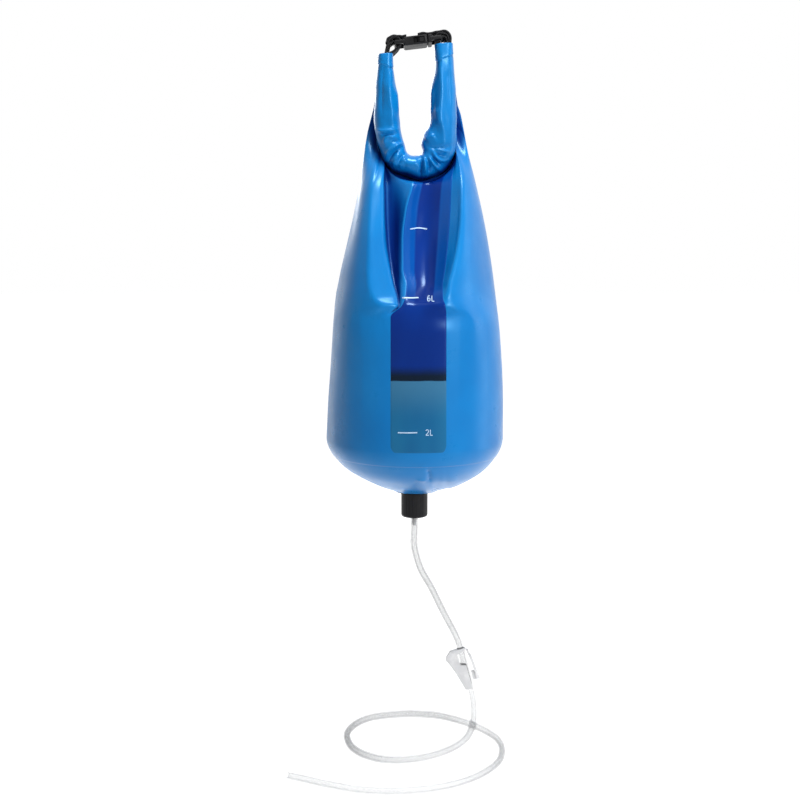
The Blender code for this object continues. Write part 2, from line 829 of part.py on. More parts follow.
def make_spigot():
    """The threaded neck, with a flange welded inside the base and a collar for the cartridge."""
    collar_top = LEVELS["flange_top"] + COLLAR_HEIGHT
    profile = [
        (COLLAR_RADIUS, collar_top),
        (COLLAR_RADIUS, LEVELS["flange_top"]),
        (FLANGE_RADIUS, LEVELS["flange_top"]),
        (FLANGE_RADIUS, LEVELS["flange_bottom"]),
        (NECK_RADIUS, LEVELS["flange_bottom"]),
        (NECK_RADIUS, LEVELS["neck_bottom"]),
        (SPIGOT_BORE_RADIUS, LEVELS["neck_bottom"]),
        (SPIGOT_BORE_RADIUS, collar_top),
    ]
    turned("outlet_spigot", profile, BLACK_PLASTIC, steps=24, frame=AXIS)


def make_washer():
    top = LEVELS["washer_top"]
    bottom = top - WASHER_THICKNESS
    outer = NECK_RADIUS - GAP
    profile = [(outer, top), (outer, bottom), (SPIGOT_BORE_RADIUS, bottom), (SPIGOT_BORE_RADIUS, top)]
    turned("seal_washer", profile, SEAL_RUBBER, steps=24, frame=AXIS)


def make_tail():
    """The flanged tail that the hose is pushed over, with its barbs."""
    flat_bore = HOSE_RADIUS * math.cos(math.pi / HOSE_SIDES) - (HOSE_RADIUS - HOSE_BORE)
    stem = flat_bore - GAP - BARB_HEIGHT
    bore = stem - TAIL_WALL
    top = LEVELS["tail_top"]
    under = top - TAIL_FLANGE
    bottom = under - TAIL_LENGTH
    flange = NECK_RADIUS - GAP
    profile = [(flange, top), (flange, under), (stem, under)]
    pitch = (LEVELS["hose_top"] - bottom) / (BARBS + 0.5)
    for k in range(BARBS):
        crest = LEVELS["hose_top"] - pitch * (k + 0.6)
        profile.append((stem, crest + GAP))
        profile.append((stem + BARB_HEIGHT, crest))
        profile.append((stem, crest - pitch * 0.7))
    profile += [(stem, bottom), (bore, bottom), (bore, top)]
    turned("hose_tail", profile, BLACK_PLASTIC, steps=16, frame=AXIS)


def make_nut():
    """The ribbed cap nut, whose inner ledge draws the tail and its washer up to the neck."""
    top = LEVELS["nut_top"]
    bottom = LEVELS["nut_bottom"]
    wall = NUT_RADIUS - NUT_WALL
    profile = [
        (NUT_RADIUS - NUT_EDGE, top),
        (NUT_RADIUS, top - NUT_EDGE),
        (NUT_RADIUS, bottom + NUT_SOFT),
        (NUT_RADIUS - NUT_SOFT * 0.3, bottom + NUT_SOFT * 0.3),
        (NUT_RADIUS - NUT_SOFT, bottom),
        (HOSE_RADIUS + GAP, bottom),
        (HOSE_RADIUS + GAP, LEVELS["ledge"]),
        (wall, LEVELS["ledge"]),
        (wall, top),
    ]
    nut = turned("cap_nut", profile, BLACK_PLASTIC, steps=48, frame=AXIS)
    work = bmesh.new()
    length = NUT_HEIGHT - NUT_SOFT - NUT_PLAIN_TOP
    middle = bottom + NUT_SOFT + length / 2
    radius = NUT_RADIUS + GROOVE_RADIUS * 0.3
    for k in range(NUT_GROOVES):
        turn = 2 * math.pi * (k + 0.5) / NUT_GROOVES
        place = Matrix.Rotation(turn, 4, "Z") @ Matrix.Translation((radius, 0.0, middle))
        bmesh.ops.create_cone(
            work,
            cap_ends=True,
            segments=6,
            radius1=GROOVE_RADIUS,
            radius2=GROOVE_RADIUS,
            depth=length,
            matrix=place,
        )
    boolean(nut, from_bmesh("nut_grooves", work, None, AXIS))


# The filter cartridge


def filter_levels():
    bottom = LEVELS["flange_top"] + GAP
    plate_top = bottom + FILTER_PLATE
    media_bottom = plate_top + GAP
    media_top = media_bottom + FILTER_HEIGHT
    return bottom, plate_top, media_bottom, media_top


def make_filter_base():
    """The lower end cap, which seats over the spigot's collar on an O-ring."""
    bottom, plate_top, _, _ = filter_levels()
    bore = COLLAR_RADIUS + 2 * ORING_SECTION + 2 * GAP
    lip = COLLAR_RADIUS + GAP
    rim = FILTER_RADIUS - FILTER_RIM_WALL
    profile = [
        (FILTER_RADIUS, plate_top + FILTER_RIM),
        (FILTER_RADIUS, plate_top - GAP),
        (FILTER_RADIUS - FILTER_TAPER, bottom),
        (bore, bottom),
        (bore, plate_top - FILTER_LEDGE),
        (lip, plate_top - FILTER_LEDGE),
        (lip, plate_top),
        (rim, plate_top),
        (rim, plate_top + FILTER_RIM),
    ]
    turned("filter_base", profile, BLACK_PLASTIC, steps=24, frame=AXIS)


def make_filter_cap():
    """The closed upper end cap."""
    top_of_media = filter_levels()[3]
    under = top_of_media + GAP
    rim = FILTER_RADIUS - FILTER_RIM_WALL
    profile = [
        (0.0, under + FILTER_CAP),
        (FILTER_RADIUS - FILTER_CHAMFER, under + FILTER_CAP),
        (FILTER_RADIUS, under + FILTER_CAP - FILTER_CHAMFER),
        (FILTER_RADIUS, under - FILTER_RIM),
        (rim, under - FILTER_RIM),
        (rim, under),
        (0.0, under),
    ]
    turned("filter_cap", profile, BLACK_PLASTIC, steps=24, closed=False, frame=AXIS)


def make_media():
    """The pleated sheet between the end caps."""
    _, _, bottom, top = filter_levels()
    rings = []
    for z in (bottom, top):
        ring = []
        for k in range(2 * PLEATS):
            radius = PLEAT_INNER if k % 2 else PLEAT_OUTER
            turn = math.pi * k / PLEATS
            ring.append(Vector((BAG_AXIS_X + radius * math.cos(turn), radius * math.sin(turn), z)))
        rings.append(ring)
    thickened(rings_mesh("filter_media", rings, FILTER_MEDIA), MEDIA)


def make_core():
    """The slotted tube that keeps the pleats from closing."""
    _, _, bottom, top = filter_levels()
    inner = CORE_RADIUS - CORE_WALL
    profile = [(CORE_RADIUS, top), (CORE_RADIUS, bottom), (inner, bottom), (inner, top)]
    core = turned("filter_core", profile, WHITE_PLASTIC, steps=24, frame=AXIS)
    work = bmesh.new()
    height = top - bottom - 2 * CORE_MARGIN
    for k in range(CORE_SLOT_PAIRS):
        turn = math.pi * (k + 0.5) / CORE_SLOT_PAIRS
        place = Matrix.Rotation(turn, 4, "Z") @ Matrix.Translation((0.0, 0.0, (bottom + top) / 2))
        size = Matrix.Diagonal((CORE_RADIUS * 3, CORE_RADIUS * 0.5, height, 1.0))
        bmesh.ops.create_cube(work, size=1.0, matrix=place @ size)
    boolean(core, from_bmesh("core_slots", work, None, AXIS)).modifiers[-1].use_self = True


def make_oring():
    bottom = LEVELS["flange_top"] + FILTER_PLATE * 0.4
    radius = COLLAR_RADIUS + GAP + ORING_SECTION
    profile = []
    for k in range(ORING_SIDES):
        turn = 2 * math.pi * k / ORING_SIDES
        profile.append((radius + ORING_SECTION * math.sin(turn), bottom + ORING_SECTION * math.cos(turn)))
    turned("filter_oring", profile, SEAL_RUBBER, steps=24, frame=AXIS)


# The buckle


def buckle_frame():
    """X along the buckle from its female to its male half. The underside's middle is the origin."""
    tilt = Matrix.Rotation(math.radians(-BUCKLE_TILT), 4, "Y")
    return tilt @ Matrix.Translation((0.0, 0.0, BUCKLE_THICKNESS / 2))


BUCKLE = buckle_frame()
FEMALE_BACK = FEMALE_MOUTH - FEMALE_LENGTH
MALE_FRONT = FEMALE_MOUTH + GAP
MALE_BACK = MALE_FRONT + MALE_BASE
HEAD_END = CATCH_WALL - GAP
PRONG_ROOT = MALE_FRONT + PRONG_ROOT_DEPTH
PRONG_HEIGHT = 2 * POCKET_HALF_HEIGHT - 4 * GAP


def webbing_frame(name, near, far):
    """A flat frame from near to far along X, whose bar is at the far end."""
    half = BUCKLE_WIDTH / 2
    thick = FRAME_THICKNESS / 2
    low = min(near, far)
    high = max(near, far)
    frame = rounded(box(name, (low, -half, -thick), (high, half, thick), None, BUCKLE), FRAME_EDGE)
    away = 1.0 if far > near else -1.0
    slot_far = far - away * BAR_LENGTH
    slot_near = slot_far - away * SLOT_LENGTH
    opening = half - FRAME_ARM
    low = min(slot_far, slot_near)
    high = max(slot_far, slot_near)
    slot = box(name + "_slot", (low, -opening, -2 * thick), (high, opening, 2 * thick), None, BUCKLE)
    return frame, slot


def bar_centre(far, away):
    """The bar's middle line, in the row's frame."""
    return BUCKLE @ Vector((far - away * BAR_LENGTH / 2, 0.0, 0.0))


FEMALE_FAR = FEMALE_BACK - SLOT_LENGTH - BAR_LENGTH
MALE_FAR = MALE_BACK + SLOT_LENGTH + BAR_LENGTH


def make_female():
    """The socket half: a flat pocket with side windows, and the left webbing's bar."""
    half = BUCKLE_WIDTH / 2
    thick = BUCKLE_THICKNESS / 2
    low = (FEMALE_BACK, -half, -thick)
    high = (FEMALE_MOUTH, half, thick)
    body = rounded(box("buckle_female", low, high, BLACK_PLASTIC, BUCKLE), SOCKET_EDGE, 3)
    frame, slot = webbing_frame("female_frame", FEMALE_BACK + SOCKET_JOIN, FEMALE_FAR)
    pocket = box(
        "female_pocket",
        (FEMALE_MOUTH - POCKET_DEPTH, -POCKET_HALF_WIDTH, -POCKET_HALF_HEIGHT),
        (FEMALE_MOUTH + CUT_MARGIN, POCKET_HALF_WIDTH, POCKET_HALF_HEIGHT),
        None,
        BUCKLE,
    )
    windows = box(
        "female_windows",
        (CATCH_WALL - HEAD_LENGTH - HEAD_CLEARANCE, -2 * half, -POCKET_HALF_HEIGHT),
        (CATCH_WALL, 2 * half, POCKET_HALF_HEIGHT),
        None,
        BUCKLE,
    )
    boolean(body, frame, "UNION")
    boolean(body, slot)
    boolean(body, pocket)
    boolean(body, windows)


def make_male():
    """The plug half: its shoulder, guide tongue and the right webbing's bar."""
    half = BUCKLE_WIDTH / 2 - PLUG_INSET
    thick = BUCKLE_THICKNESS / 2 - PLUG_INSET
    low = (MALE_FRONT, -half, -thick)
    high = (MALE_BACK, half, thick)
    body = rounded(box("buckle_male", low, high, BLACK_PLASTIC, BUCKLE), PLUG_EDGE)
    frame, slot = webbing_frame("male_frame", MALE_BACK - PLUG_JOIN, MALE_FAR)
    tongue = box(
        "male_tongue",
        (MALE_FRONT - TONGUE_LENGTH, -TONGUE_WIDTH / 2, -POCKET_HALF_HEIGHT + 2 * GAP),
        (MALE_FRONT + TONGUE_JOIN, TONGUE_WIDTH / 2, POCKET_HALF_HEIGHT - 2 * GAP),
        None,
        BUCKLE,
    )
    boolean(body, frame, "UNION")
    boolean(body, tongue, "UNION")
    boolean(body, slot)
    for side in (-1.0, 1.0):
        boolean(body, root_pocket(side))


def root_pocket(side):
    """The hollow in the plug's shoulder that a prong's root turns in."""
    reach = PRONG_WIDTH / 2 + GAP
    swing = PRONG_ROOT_DEPTH * math.sin(math.radians(PRONG_SWING)) + GAP
    near = side * (PRONG_OFFSET - reach - swing)
    far = side * (PRONG_OFFSET + reach)
    height = PRONG_HEIGHT / 2 + GAP
    low = (MALE_FRONT - CUT_MARGIN, min(near, far), -height)
    high = (PRONG_ROOT + reach, max(near, far), height)
    return box("root_pocket", low, high, None, BUCKLE)


def prong_outline(side):
    """A sprung prong seen from above, with its root's centre at the origin and the head towards -X."""
    half = PRONG_WIDTH / 2
    window = BUCKLE_WIDTH / 2 - PRONG_OFFSET - 0.0006
    shoulder = HEAD_END - PRONG_ROOT
    tip = -PRONG_LENGTH
    turns = [math.radians(degrees) for degrees in range(-90, 91, 30)]
    outline = [(half * math.cos(turn), half * math.sin(turn)) for turn in turns]
    outline += [
        (shoulder + 0.0022, half),
        (shoulder, half + 0.0003),
        (shoulder, window - 0.0004),
        (shoulder - 0.0008, window),
        (shoulder - HEAD_LENGTH * 0.45, window),
        (shoulder - HEAD_LENGTH * 0.80, half + HEAD_BULGE),
        (tip + 0.0012, half + 0.0002),
        (tip, half - 0.0008),
        (tip + 0.0004, -half + 0.0006),
        (tip + 0.0016, -half),
    ]
    return [(x, side * y) for x, y in outline]


def make_prong(name, side):
    """side is -1 at the front and 1 at the back. The object's origin is on its hinge axis."""
    outline = prong_outline(side)
    if side < 0:
        outline = outline[::-1]
    root = Vector((PRONG_ROOT, side * PRONG_OFFSET, 0.0))
    frame = BUCKLE @ Matrix.Translation(root)
    extruded(name, outline, PRONG_HEIGHT, BLACK_PLASTIC, frame)


def strap(name, path, stuff):
    """A webbing strap swept along a path in the XZ plane."""
    rings = []
    half = WEBBING_THICKNESS / 2
    edge = WEBBING_WIDTH / 2
    for k, place in enumerate(path):
        before = path[max(k - 1, 0)]
        after = path[min(k + 1, len(path) - 1)]
        along = (after - before).normalized()
        side = Vector((along.z, 0.0, -along.x)) * half
        edge_y = Vector((0.0, edge, 0.0))
        rings.append([place + sx * side + sy * edge_y for sx, sy in ((1, 1), (1, -1), (-1, -1), (-1, 1))])
    rings_mesh(name, rings, stuff, caps=True)


def webbing_path(share, bar, away):
    """Out of one end of the roll, round a buckle bar and back in. away is 1 for the left end."""
    middle = roll_frame(share)[0]
    top = middle.z
    spread = (STIFFENER_THICKNESS + WEBBING_THICKNESS) / 2 + GAP
    outer = middle.x - away * spread
    inner = middle.x + away * spread
    wrap = BAR_LENGTH / 2 * math.sqrt(2) + GAP + WEBBING_THICKNESS / 2
    arc = []
    for degrees in range(120, -121, -30):
        angle = math.radians(degrees if away > 0 else 180 - degrees)
        arc.append(bar + Vector((wrap * math.cos(angle), 0.0, wrap * math.sin(angle))))
    heights = (top - WEBBING_TUCK, top - WEBBING_TUCK * 0.3, top + GAP)
    start = [Vector((outer, 0.0, z)) for z in heights]
    lift = Vector((outer + away * WEBBING_LEAN, 0.0, top + (bar.z - top) * WEBBING_TURN_SHARE))
    end = [Vector((inner, 0.0, z)) for z in reversed(heights)]
    return even_points([*start, lift, *arc, *end], count=WEBBING_POINTS)


def make_webbing():
    left = webbing_path(0.0, bar_centre(FEMALE_FAR, -1.0), 1.0)
    strap("webbing_left", left, BLACK_WEBBING)
    right = webbing_path(1.0, bar_centre(MALE_FAR, 1.0), -1.0)
    strap("webbing_right", right, BLACK_WEBBING)


# The hose

HOSE_AIR = (
    (-0.0016, 0.0010, -0.5490),
    (0.0056, 0.0077, -0.5774),
    (0.0175, 0.0180, -0.6015),
    (0.0321, 0.0303, -0.6345),
    (0.0456, 0.0385, -0.6664),
)
HOSE_DROP = (
    (0.0680, 0.0211, -0.7513),
    (0.0682, 0.0129, -0.7588),
    (0.0674, 0.0036, -0.7645),
    (0.0641, -0.0061, -0.7687),
    (0.0572, -0.0166, -0.7718),
    (0.0481, -0.0257, -0.7743),
    (0.0352, -0.0345, -0.7765),
    (0.0192, -0.0413, -0.7789),
    (0.0012, -0.0447, -0.7812),
    (-0.0178, -0.0438, -0.7836),
    (-0.0335, -0.0392, -0.7852),
    (-0.0484, -0.0309, -0.7863),
)
HOSE_FLOOR = (
    (-0.0624, -0.0183),
    (-0.0735, -0.0017),
    (-0.0790, 0.0160),
    (-0.0805, 0.0360),
    (-0.0714, 0.0621),
    (-0.0549, 0.0799),
    (-0.0302, 0.0890),
    (-0.0029, 0.0920),
    (0.0318, 0.0860),
    (0.0558, 0.0715),
    (0.0720, 0.0575),
    (0.0860, 0.0405),
    (0.0969, 0.0200),
    (0.1002, -0.0046),
    (0.0950, -0.0345),
    (0.0819, -0.0577),
    (0.0640, -0.0768),
    (0.0359, -0.0952),
    (0.0035, -0.1054),
    (-0.0284, -0.1087),
    (-0.0603, -0.1054),
    (-0.0930, -0.0941),
    (-0.1210, -0.0814),
    (-0.1415, -0.0721),
)


def clamp_axis():
    return (CLAMP_EXIT - CLAMP_ENTRY).normalized()


def clamp_frame():
    """X to the right of the hose, Y up it, Z towards the viewer, from where the hose enters."""
    up = -clamp_axis()
    viewer = Vector((0.0, -1.0, 0.0))
    right = up.cross(viewer).normalized()
    viewer = right.cross(up)
    turn = Matrix((right, up, viewer)).transposed().to_4x4()
    return Matrix.Translation(CLAMP_ENTRY) @ turn


CLAMP = clamp_frame()
CLAMP_LENGTH = (CLAMP_EXIT - CLAMP_ENTRY).length


def hose(name, points):
    """A stretch of hollow hose through points that are already evenly spaced."""
    curve = bpy.data.curves.new(name, "CURVE")
    curve.dimensions = "3D"
    curve.bevel_depth = HOSE_RADIUS
    curve.bevel_resolution = HOSE_SIDES // 2 - 2
    line = curve.splines.new("POLY")
    line.points.add(len(points) - 1)
    for point, place in zip(line.points, points):
        point.co = (*place, 1.0)
    obj = curve_to_mesh(name, curve, CLEAR_HOSE)
    thickened(smooth_shaded(obj, 60.0), HOSE_RADIUS - HOSE_BORE, even=True)


def make_hose():
    axis = clamp_axis()
    floor = -FLOOR_DROP + HOSE_RADIUS + HOSE_LIFT
    top = Vector((BAG_AXIS_X, 0.0, LEVELS["hose_top"]))
    straight = top - Vector((0.0, 0.0, TAIL_LENGTH + 0.002))
    square = axis * HOSE_RADIUS * 2
    before = CLAMP_ENTRY - axis * HOSE_STUB
    after = CLAMP_EXIT + axis * HOSE_STUB
    upper = [top, top.lerp(straight, 0.5), straight, *map(Vector, HOSE_AIR), before - square]
    hose("hose_upper", [*even_points(upper, step=HOSE_STEP), before])
    inner_end = before + axis * GAP
    outer_end = after - axis * GAP
    hose("hose_pinch", even_points([inner_end, CLAMP_ENTRY, CLAMP_EXIT, outer_end], count=6))
    landing = [Vector((x, y, floor)) for x, y in HOSE_FLOOR]
    lower = [after + square, *map(Vector, HOSE_DROP), *landing]
    hose("hose_lower", [after, *even_points(lower, step=HOSE_STEP)])


# The pinch clamp


HINGE_DOWN = 0.0020
HINGE_RIGHT = HOSE_RADIUS + CLAMP_ARCH / 2 + GAP
CLAMP_RISE = 0.0010
CLAMP_SHOULDER = 0.0135
NUB_STEP = 0.0006
ARM_OUT = 0.0052
# The arm's middle line, with shares of its reach, of the way that it stands out and of its thickness
ARM_LINE = (
    (0.0, 0.0, 1.0),
    (0.10, 0.15, 1.0),
    (0.22, 0.36, 1.15),
    (0.36, 0.52, 1.25),
    (0.52, 0.62, 1.25),
    (0.70, 0.76, 1.25),
    (1.0, 1.0, 1.25),
)


def clamp_point(down, right):
    """A point of the clamp's plane, from its distance down the hose and to the right of it."""
    return (right, -down)


def make_clamp_base():
    """The arch that the hose enters, the wide back bar and the channel that it lies in."""
    length = CLAMP_LENGTH
    reach = HOSE_RADIUS + GAP
    outline = [
        clamp_point(-CLAMP_RISE * 0.4, -CLAMP_SHOULDER),
        clamp_point(-CLAMP_RISE, -reach),
        clamp_point(-CLAMP_RISE, reach - 0.0014),
        clamp_point(HINGE_DOWN - 0.0021, reach + 0.0016),
        clamp_point(HINGE_DOWN - 0.0021 + 0.0030, reach - 0.0016),
        clamp_point(CLAMP_ARCH, -reach - 0.0002),
        clamp_point(length * 0.36, -reach - 0.0002),
        clamp_point(length * 0.40, HOSE_RADIUS * 0.4),
        clamp_point(length - 0.002, HOSE_RADIUS * 0.60),
        clamp_point(length, HOSE_RADIUS * 0.5),
        clamp_point(length - 0.0005, -reach - 0.0012),
        clamp_point(length * 0.55, -reach - CLAMP_FLOOR * 0.95),
        clamp_point(length * 0.30, -reach - CLAMP_FLOOR * 1.55),
        clamp_point(length * 0.205, -CLAMP_NOSE + 0.0010),
        clamp_point(length * 0.165, -CLAMP_NOSE),
        clamp_point(length * 0.110, -CLAMP_NOSE + 0.0014),
        clamp_point(length * 0.030, -CLAMP_NOSE + 0.0052),
    ]
    base = rounded(extruded("clamp_base", outline, CLAMP_WIDTH, WHITE_PLASTIC, CLAMP), 0.0006, 1)
    hole = rod("clamp_hole", (0.0, 0.02, 0.0), (0.0, -length - 0.02, 0.0), reach, 16, None, CLAMP)
    channel_top = HOSE_RADIUS + 0.01
    channel = box(
        "clamp_channel",
        (0.0, -length - 0.02, -reach),
        (channel_top, -length * 0.30, reach),
        None,
        CLAMP,
    )
    boolean(base, hole)
    boolean(base, channel)


def make_clamp_arm():
    """The flexible arm over the hose, ending in the square nub that pinches it. Its origin is its hinge."""
    reach = HOSE_RADIUS + GAP
    half = ARM_THICKNESS / 2
    outer = [(ARM_OUT * out + half * wide, -ARM_REACH * down) for down, out, wide in ARM_LINE]
    inner = [(ARM_OUT * out - half * wide, -ARM_REACH * down) for down, out, wide in ARM_LINE[:-1]]
    nub_top = ARM_REACH - NUB_LENGTH
    nub_right = reach + GAP - HINGE_RIGHT
    nub = [(nub_right, -ARM_REACH), (nub_right, -nub_top)]
    corner = [(inner[-1][0], -nub_top)]
    outline = outer + nub + corner + inner[::-1]
    frame = CLAMP @ Matrix.Translation((*clamp_point(HINGE_DOWN, HINGE_RIGHT), 0.0))
    arm = extruded("clamp_arm", outline[::-1], CLAMP_WIDTH, WHITE_PLASTIC, frame)
    side = 0.02
    for name, sign in (("nub_trim_front", 1.0), ("nub_trim_back", -1.0)):
        near = sign * (reach - 2 * GAP)
        low = (nub_right - 0.002, -ARM_REACH - 0.002, min(near, sign * side))
        high = (inner[-1][0] + NUB_STEP, -nub_top + 0.0001, max(near, sign * side))
        boolean(arm, box(name, low, high, None, frame))


make_roll()
make_stiffener()
make_bag_wall()
make_window()
make_back_seam()
make_base()
make_spigot()
make_washer()
make_tail()
make_nut()
make_filter_base()
make_filter_cap()
make_media()
make_core()
make_oring()
make_female()
make_male()
make_prong("prong_front", -1.0)
make_prong("prong_back", 1.0)
make_webbing()
make_hose()
make_clamp_base()
make_clamp_arm()
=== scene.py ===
"""Gravity water filter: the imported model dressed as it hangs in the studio.

Metres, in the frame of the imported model: the buckle's underside is the origin and the bag's front faces -Y.
Tables of places in the photograph hold its columns and rows. The solved camera turns them into metres.
"""

import math

import bmesh
import bpy
import numpy as np
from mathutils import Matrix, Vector


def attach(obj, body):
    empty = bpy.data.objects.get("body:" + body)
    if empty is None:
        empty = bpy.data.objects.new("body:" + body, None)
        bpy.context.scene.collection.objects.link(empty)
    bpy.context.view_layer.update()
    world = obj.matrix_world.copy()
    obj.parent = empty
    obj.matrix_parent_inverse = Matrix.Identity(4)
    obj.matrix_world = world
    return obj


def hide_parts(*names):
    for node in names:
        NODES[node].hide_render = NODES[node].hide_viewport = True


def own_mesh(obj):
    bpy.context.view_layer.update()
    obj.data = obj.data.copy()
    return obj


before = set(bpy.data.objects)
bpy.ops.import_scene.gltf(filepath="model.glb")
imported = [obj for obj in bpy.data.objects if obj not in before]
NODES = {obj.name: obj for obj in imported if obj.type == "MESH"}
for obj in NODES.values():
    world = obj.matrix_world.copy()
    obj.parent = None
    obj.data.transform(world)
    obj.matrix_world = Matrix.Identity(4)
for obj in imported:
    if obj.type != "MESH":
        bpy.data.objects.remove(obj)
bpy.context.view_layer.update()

# The photograph's camera
CAMERA = (-0.0178, -1.190, -0.2439)
CAMERA_PITCH = math.radians(6.651)
FOCAL_PX = 1072.0
FRAME_PX = 800
SENSOR = 36.0
FLOOR_Z = -0.7925
# What the floor adds to its lit colour for the camera, so that only shadows show on it
FLOOR_LIFT = 0.885

# Sizes shared with the part's source
FABRIC = 0.0007
BAG_RADIUS = 0.0985
BAG_AXIS_X = -0.0015
EQUATOR_Z = -0.4245
DOME_DEPTH = 0.065
SEAM_DROP = 0.0195
ROLL_HALF_WIDTH = 0.017
ROLL_CORE_WIDTH = 0.0106
ROLL_CORE_SHARE = 0.63
HOSE_RADIUS = 0.0045
HOSE_BORE = 0.0030

MM = 0.001
TINY = 1e-12


def ray_tilt(py):
    """What the camera's ray at a row of the photograph gains along the lens axis and upwards."""
    b = (FRAME_PX / 2 - py) / FOCAL_PX
    ahead = math.cos(CAMERA_PITCH) + b * math.sin(CAMERA_PITCH)
    return ahead, b * math.cos(CAMERA_PITCH) - math.sin(CAMERA_PITCH)


def pixel_slope(py):
    """Rise of the camera's ray for each metre along Y, at a row of the photograph."""
    ahead, up = ray_tilt(py)
    return up / ahead


def seen(px, py, y):
    """The point at depth y that the photograph shows at a pixel."""
    reach = y - CAMERA[1]
    x = CAMERA[0] + (px - FRAME_PX / 2) / FOCAL_PX / ray_tilt(py)[0] * reach
    return np.array((x, y, CAMERA[2] + pixel_slope(py) * reach))


def lens_depth(y, z):
    """Distance in front of the camera along its axis."""
    return (y - CAMERA[1]) * math.cos(CAMERA_PITCH) - (z - CAMERA[2]) * math.sin(CAMERA_PITCH)


def project(points):
    """Columns and rows of the photograph for points."""
    away = points - np.array(CAMERA)
    ahead = lens_depth(points[..., 1], points[..., 2])
    up = away[..., 1] * math.sin(CAMERA_PITCH) + away[..., 2] * math.cos(CAMERA_PITCH)
    return FRAME_PX / 2 + FOCAL_PX * away[..., 0] / ahead, FRAME_PX / 2 - FOCAL_PX * up / ahead


# Lines


def numbers(text, scale=1.0):
    """Rows of numbers from a text: spaces between the rows and commas between the numbers."""
    return np.array([[float(value) for value in row.split(",")] for row in text.split()]) * scale


def unit(vectors):
    """The same directions at length 1."""
    return vectors / np.maximum(np.linalg.norm(vectors, axis=-1, keepdims=True), TINY)


def directions(line):
    """Unit directions along a line, at its points."""
    return unit(np.gradient(line, axis=0))


def length_along(line):
    """Length from a line's start to each of its points."""
    return np.concatenate([[0.0], np.cumsum(np.linalg.norm(np.diff(line, axis=0), axis=1))])


def hermite(t, start, leaving, end, arriving):
    """The place at share t of the curve that leaves start and arrives at end in given directions."""
    rise = 3 * t**2 - 2 * t**3
    return (1 - rise) * start + (t**3 - 2 * t**2 + t) * leaving + rise * end + (t**3 - t**2) * arriving


def catmull(points, per_span, closed=False):
    """Points along a centripetal Catmull-Rom curve."""
    points = np.asarray(points, float)
    count = len(points)
    share = np.arange(per_span) / per_span
    result = []
    for i in range(count if closed else count - 1):
        p1 = points[i]
        p2 = points[(i + 1) % count]
        p0 = points[(i - 1) % count] if closed or i > 0 else 2 * p1 - p2
        p3 = points[(i + 2) % count] if closed or i + 2 < count else 2 * p2 - p1
        knots = [0.0]
        for a, b in ((p0, p1), (p1, p2), (p2, p3)):
            knots.append(knots[-1] + math.sqrt(max(np.linalg.norm(b - a), TINY)))
        t0, t1, t2, t3 = knots
        t = (t1 + (t2 - t1) * share)[:, None]
        a1 = (t1 - t) / (t1 - t0) * p0 + (t - t0) / (t1 - t0) * p1
        a2 = (t2 - t) / (t2 - t1) * p1 + (t - t1) / (t2 - t1) * p2
        a3 = (t3 - t) / (t3 - t2) * p2 + (t - t2) / (t3 - t2) * p3
        b1 = (t2 - t) / (t2 - t0) * a1 + (t - t0) / (t2 - t0) * a2
        b2 = (t3 - t) / (t3 - t1) * a2 + (t - t1) / (t3 - t1) * a3
        result.append((t2 - t) / (t2 - t1) * b1 + (t - t1) / (t2 - t1) * b2)
    if not closed:
        result.append(points[-1:])
    return np.concatenate(result)

def evenly(line, count, include_end=True):
    """Points at equal steps of length along a polyline."""
    length = length_along(line)
    wanted = np.linspace(0.0, length[-1], count, endpoint=include_end)
    return np.stack([np.interp(wanted, length, line[:, k]) for k in range(line.shape[1])], -1)

def smoothstep(low, high, value):
    share = np.clip((value - low) / (high - low), 0.0, 1.0)
    return share * share * (3 - 2 * share)


def plateau(rise, fall, value):
    """0 before the range rise, 1 between it and the range fall, and 0 after that."""
    return smoothstep(*rise, value) * (1 - smoothstep(*fall, value))


def between(ends, share):
    """A value part of the way between two."""
    return ends[0] + (ends[1] - ends[0]) * share

# Mesh helpers


def new_object(name, mesh, material):
    obj = bpy.data.objects.new(name, mesh)
    bpy.context.scene.collection.objects.link(obj)
    mesh.materials.append(material)
    return obj


def grid_object(name, points, material, closed_u=False, closed_v=False, uv=None):
    """A mesh from points[row, column, 3], with optional (row, column, 2) texture coordinates."""
    rows, columns = points.shape[:2]
    row_index = np.arange(rows if closed_v else rows - 1)
    column_index = np.arange(columns if closed_u else columns - 1)
    r, c = np.meshgrid(row_index, column_index, indexing="ij")
    r2 = (r + 1) % rows
    c2 = (c + 1) % columns
    corners = ((r, c), (r2, c), (r2, c2), (r, c2))
    faces = np.stack([row * columns + column for row, column in corners], -1).reshape(-1, 4)
    mesh = bpy.data.meshes.new(name)
    mesh.from_pydata(points.reshape(-1, 3).tolist(), [], faces.tolist())
    if uv is not None:
        layer = mesh.uv_layers.new(name="UVMap")
        corners = np.empty(len(mesh.loops), np.int32)
        mesh.loops.foreach_get("vertex_index", corners)
        layer.data.foreach_set("uv", uv.reshape(-1, 2)[corners].ravel().astype(np.float32))
    mesh.shade_smooth()
    mesh.update()
    return new_object(name, mesh, material)


def solidify(obj, offset=-1.0):
    """Gives a surface the fabric's thickness, to its inner side or to both sides."""
    shell = obj.modifiers.new("Thickness", "SOLIDIFY")
    shell.thickness = FABRIC
    shell.offset = offset


def dress(piece, node):
    """Rides a piece on the bag and shows it in place of its solid."""
    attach(piece, "bag")
    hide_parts(node)


# Materials


def linear(*srgb):
    """A colour written as 0 to 255 in sRGB, as linear light."""
    values = [c / 255 for c in srgb]
    return tuple(c / 12.92 if c <= 0.04045 else ((c + 0.055) / 1.055) ** 2.4 for c in values)


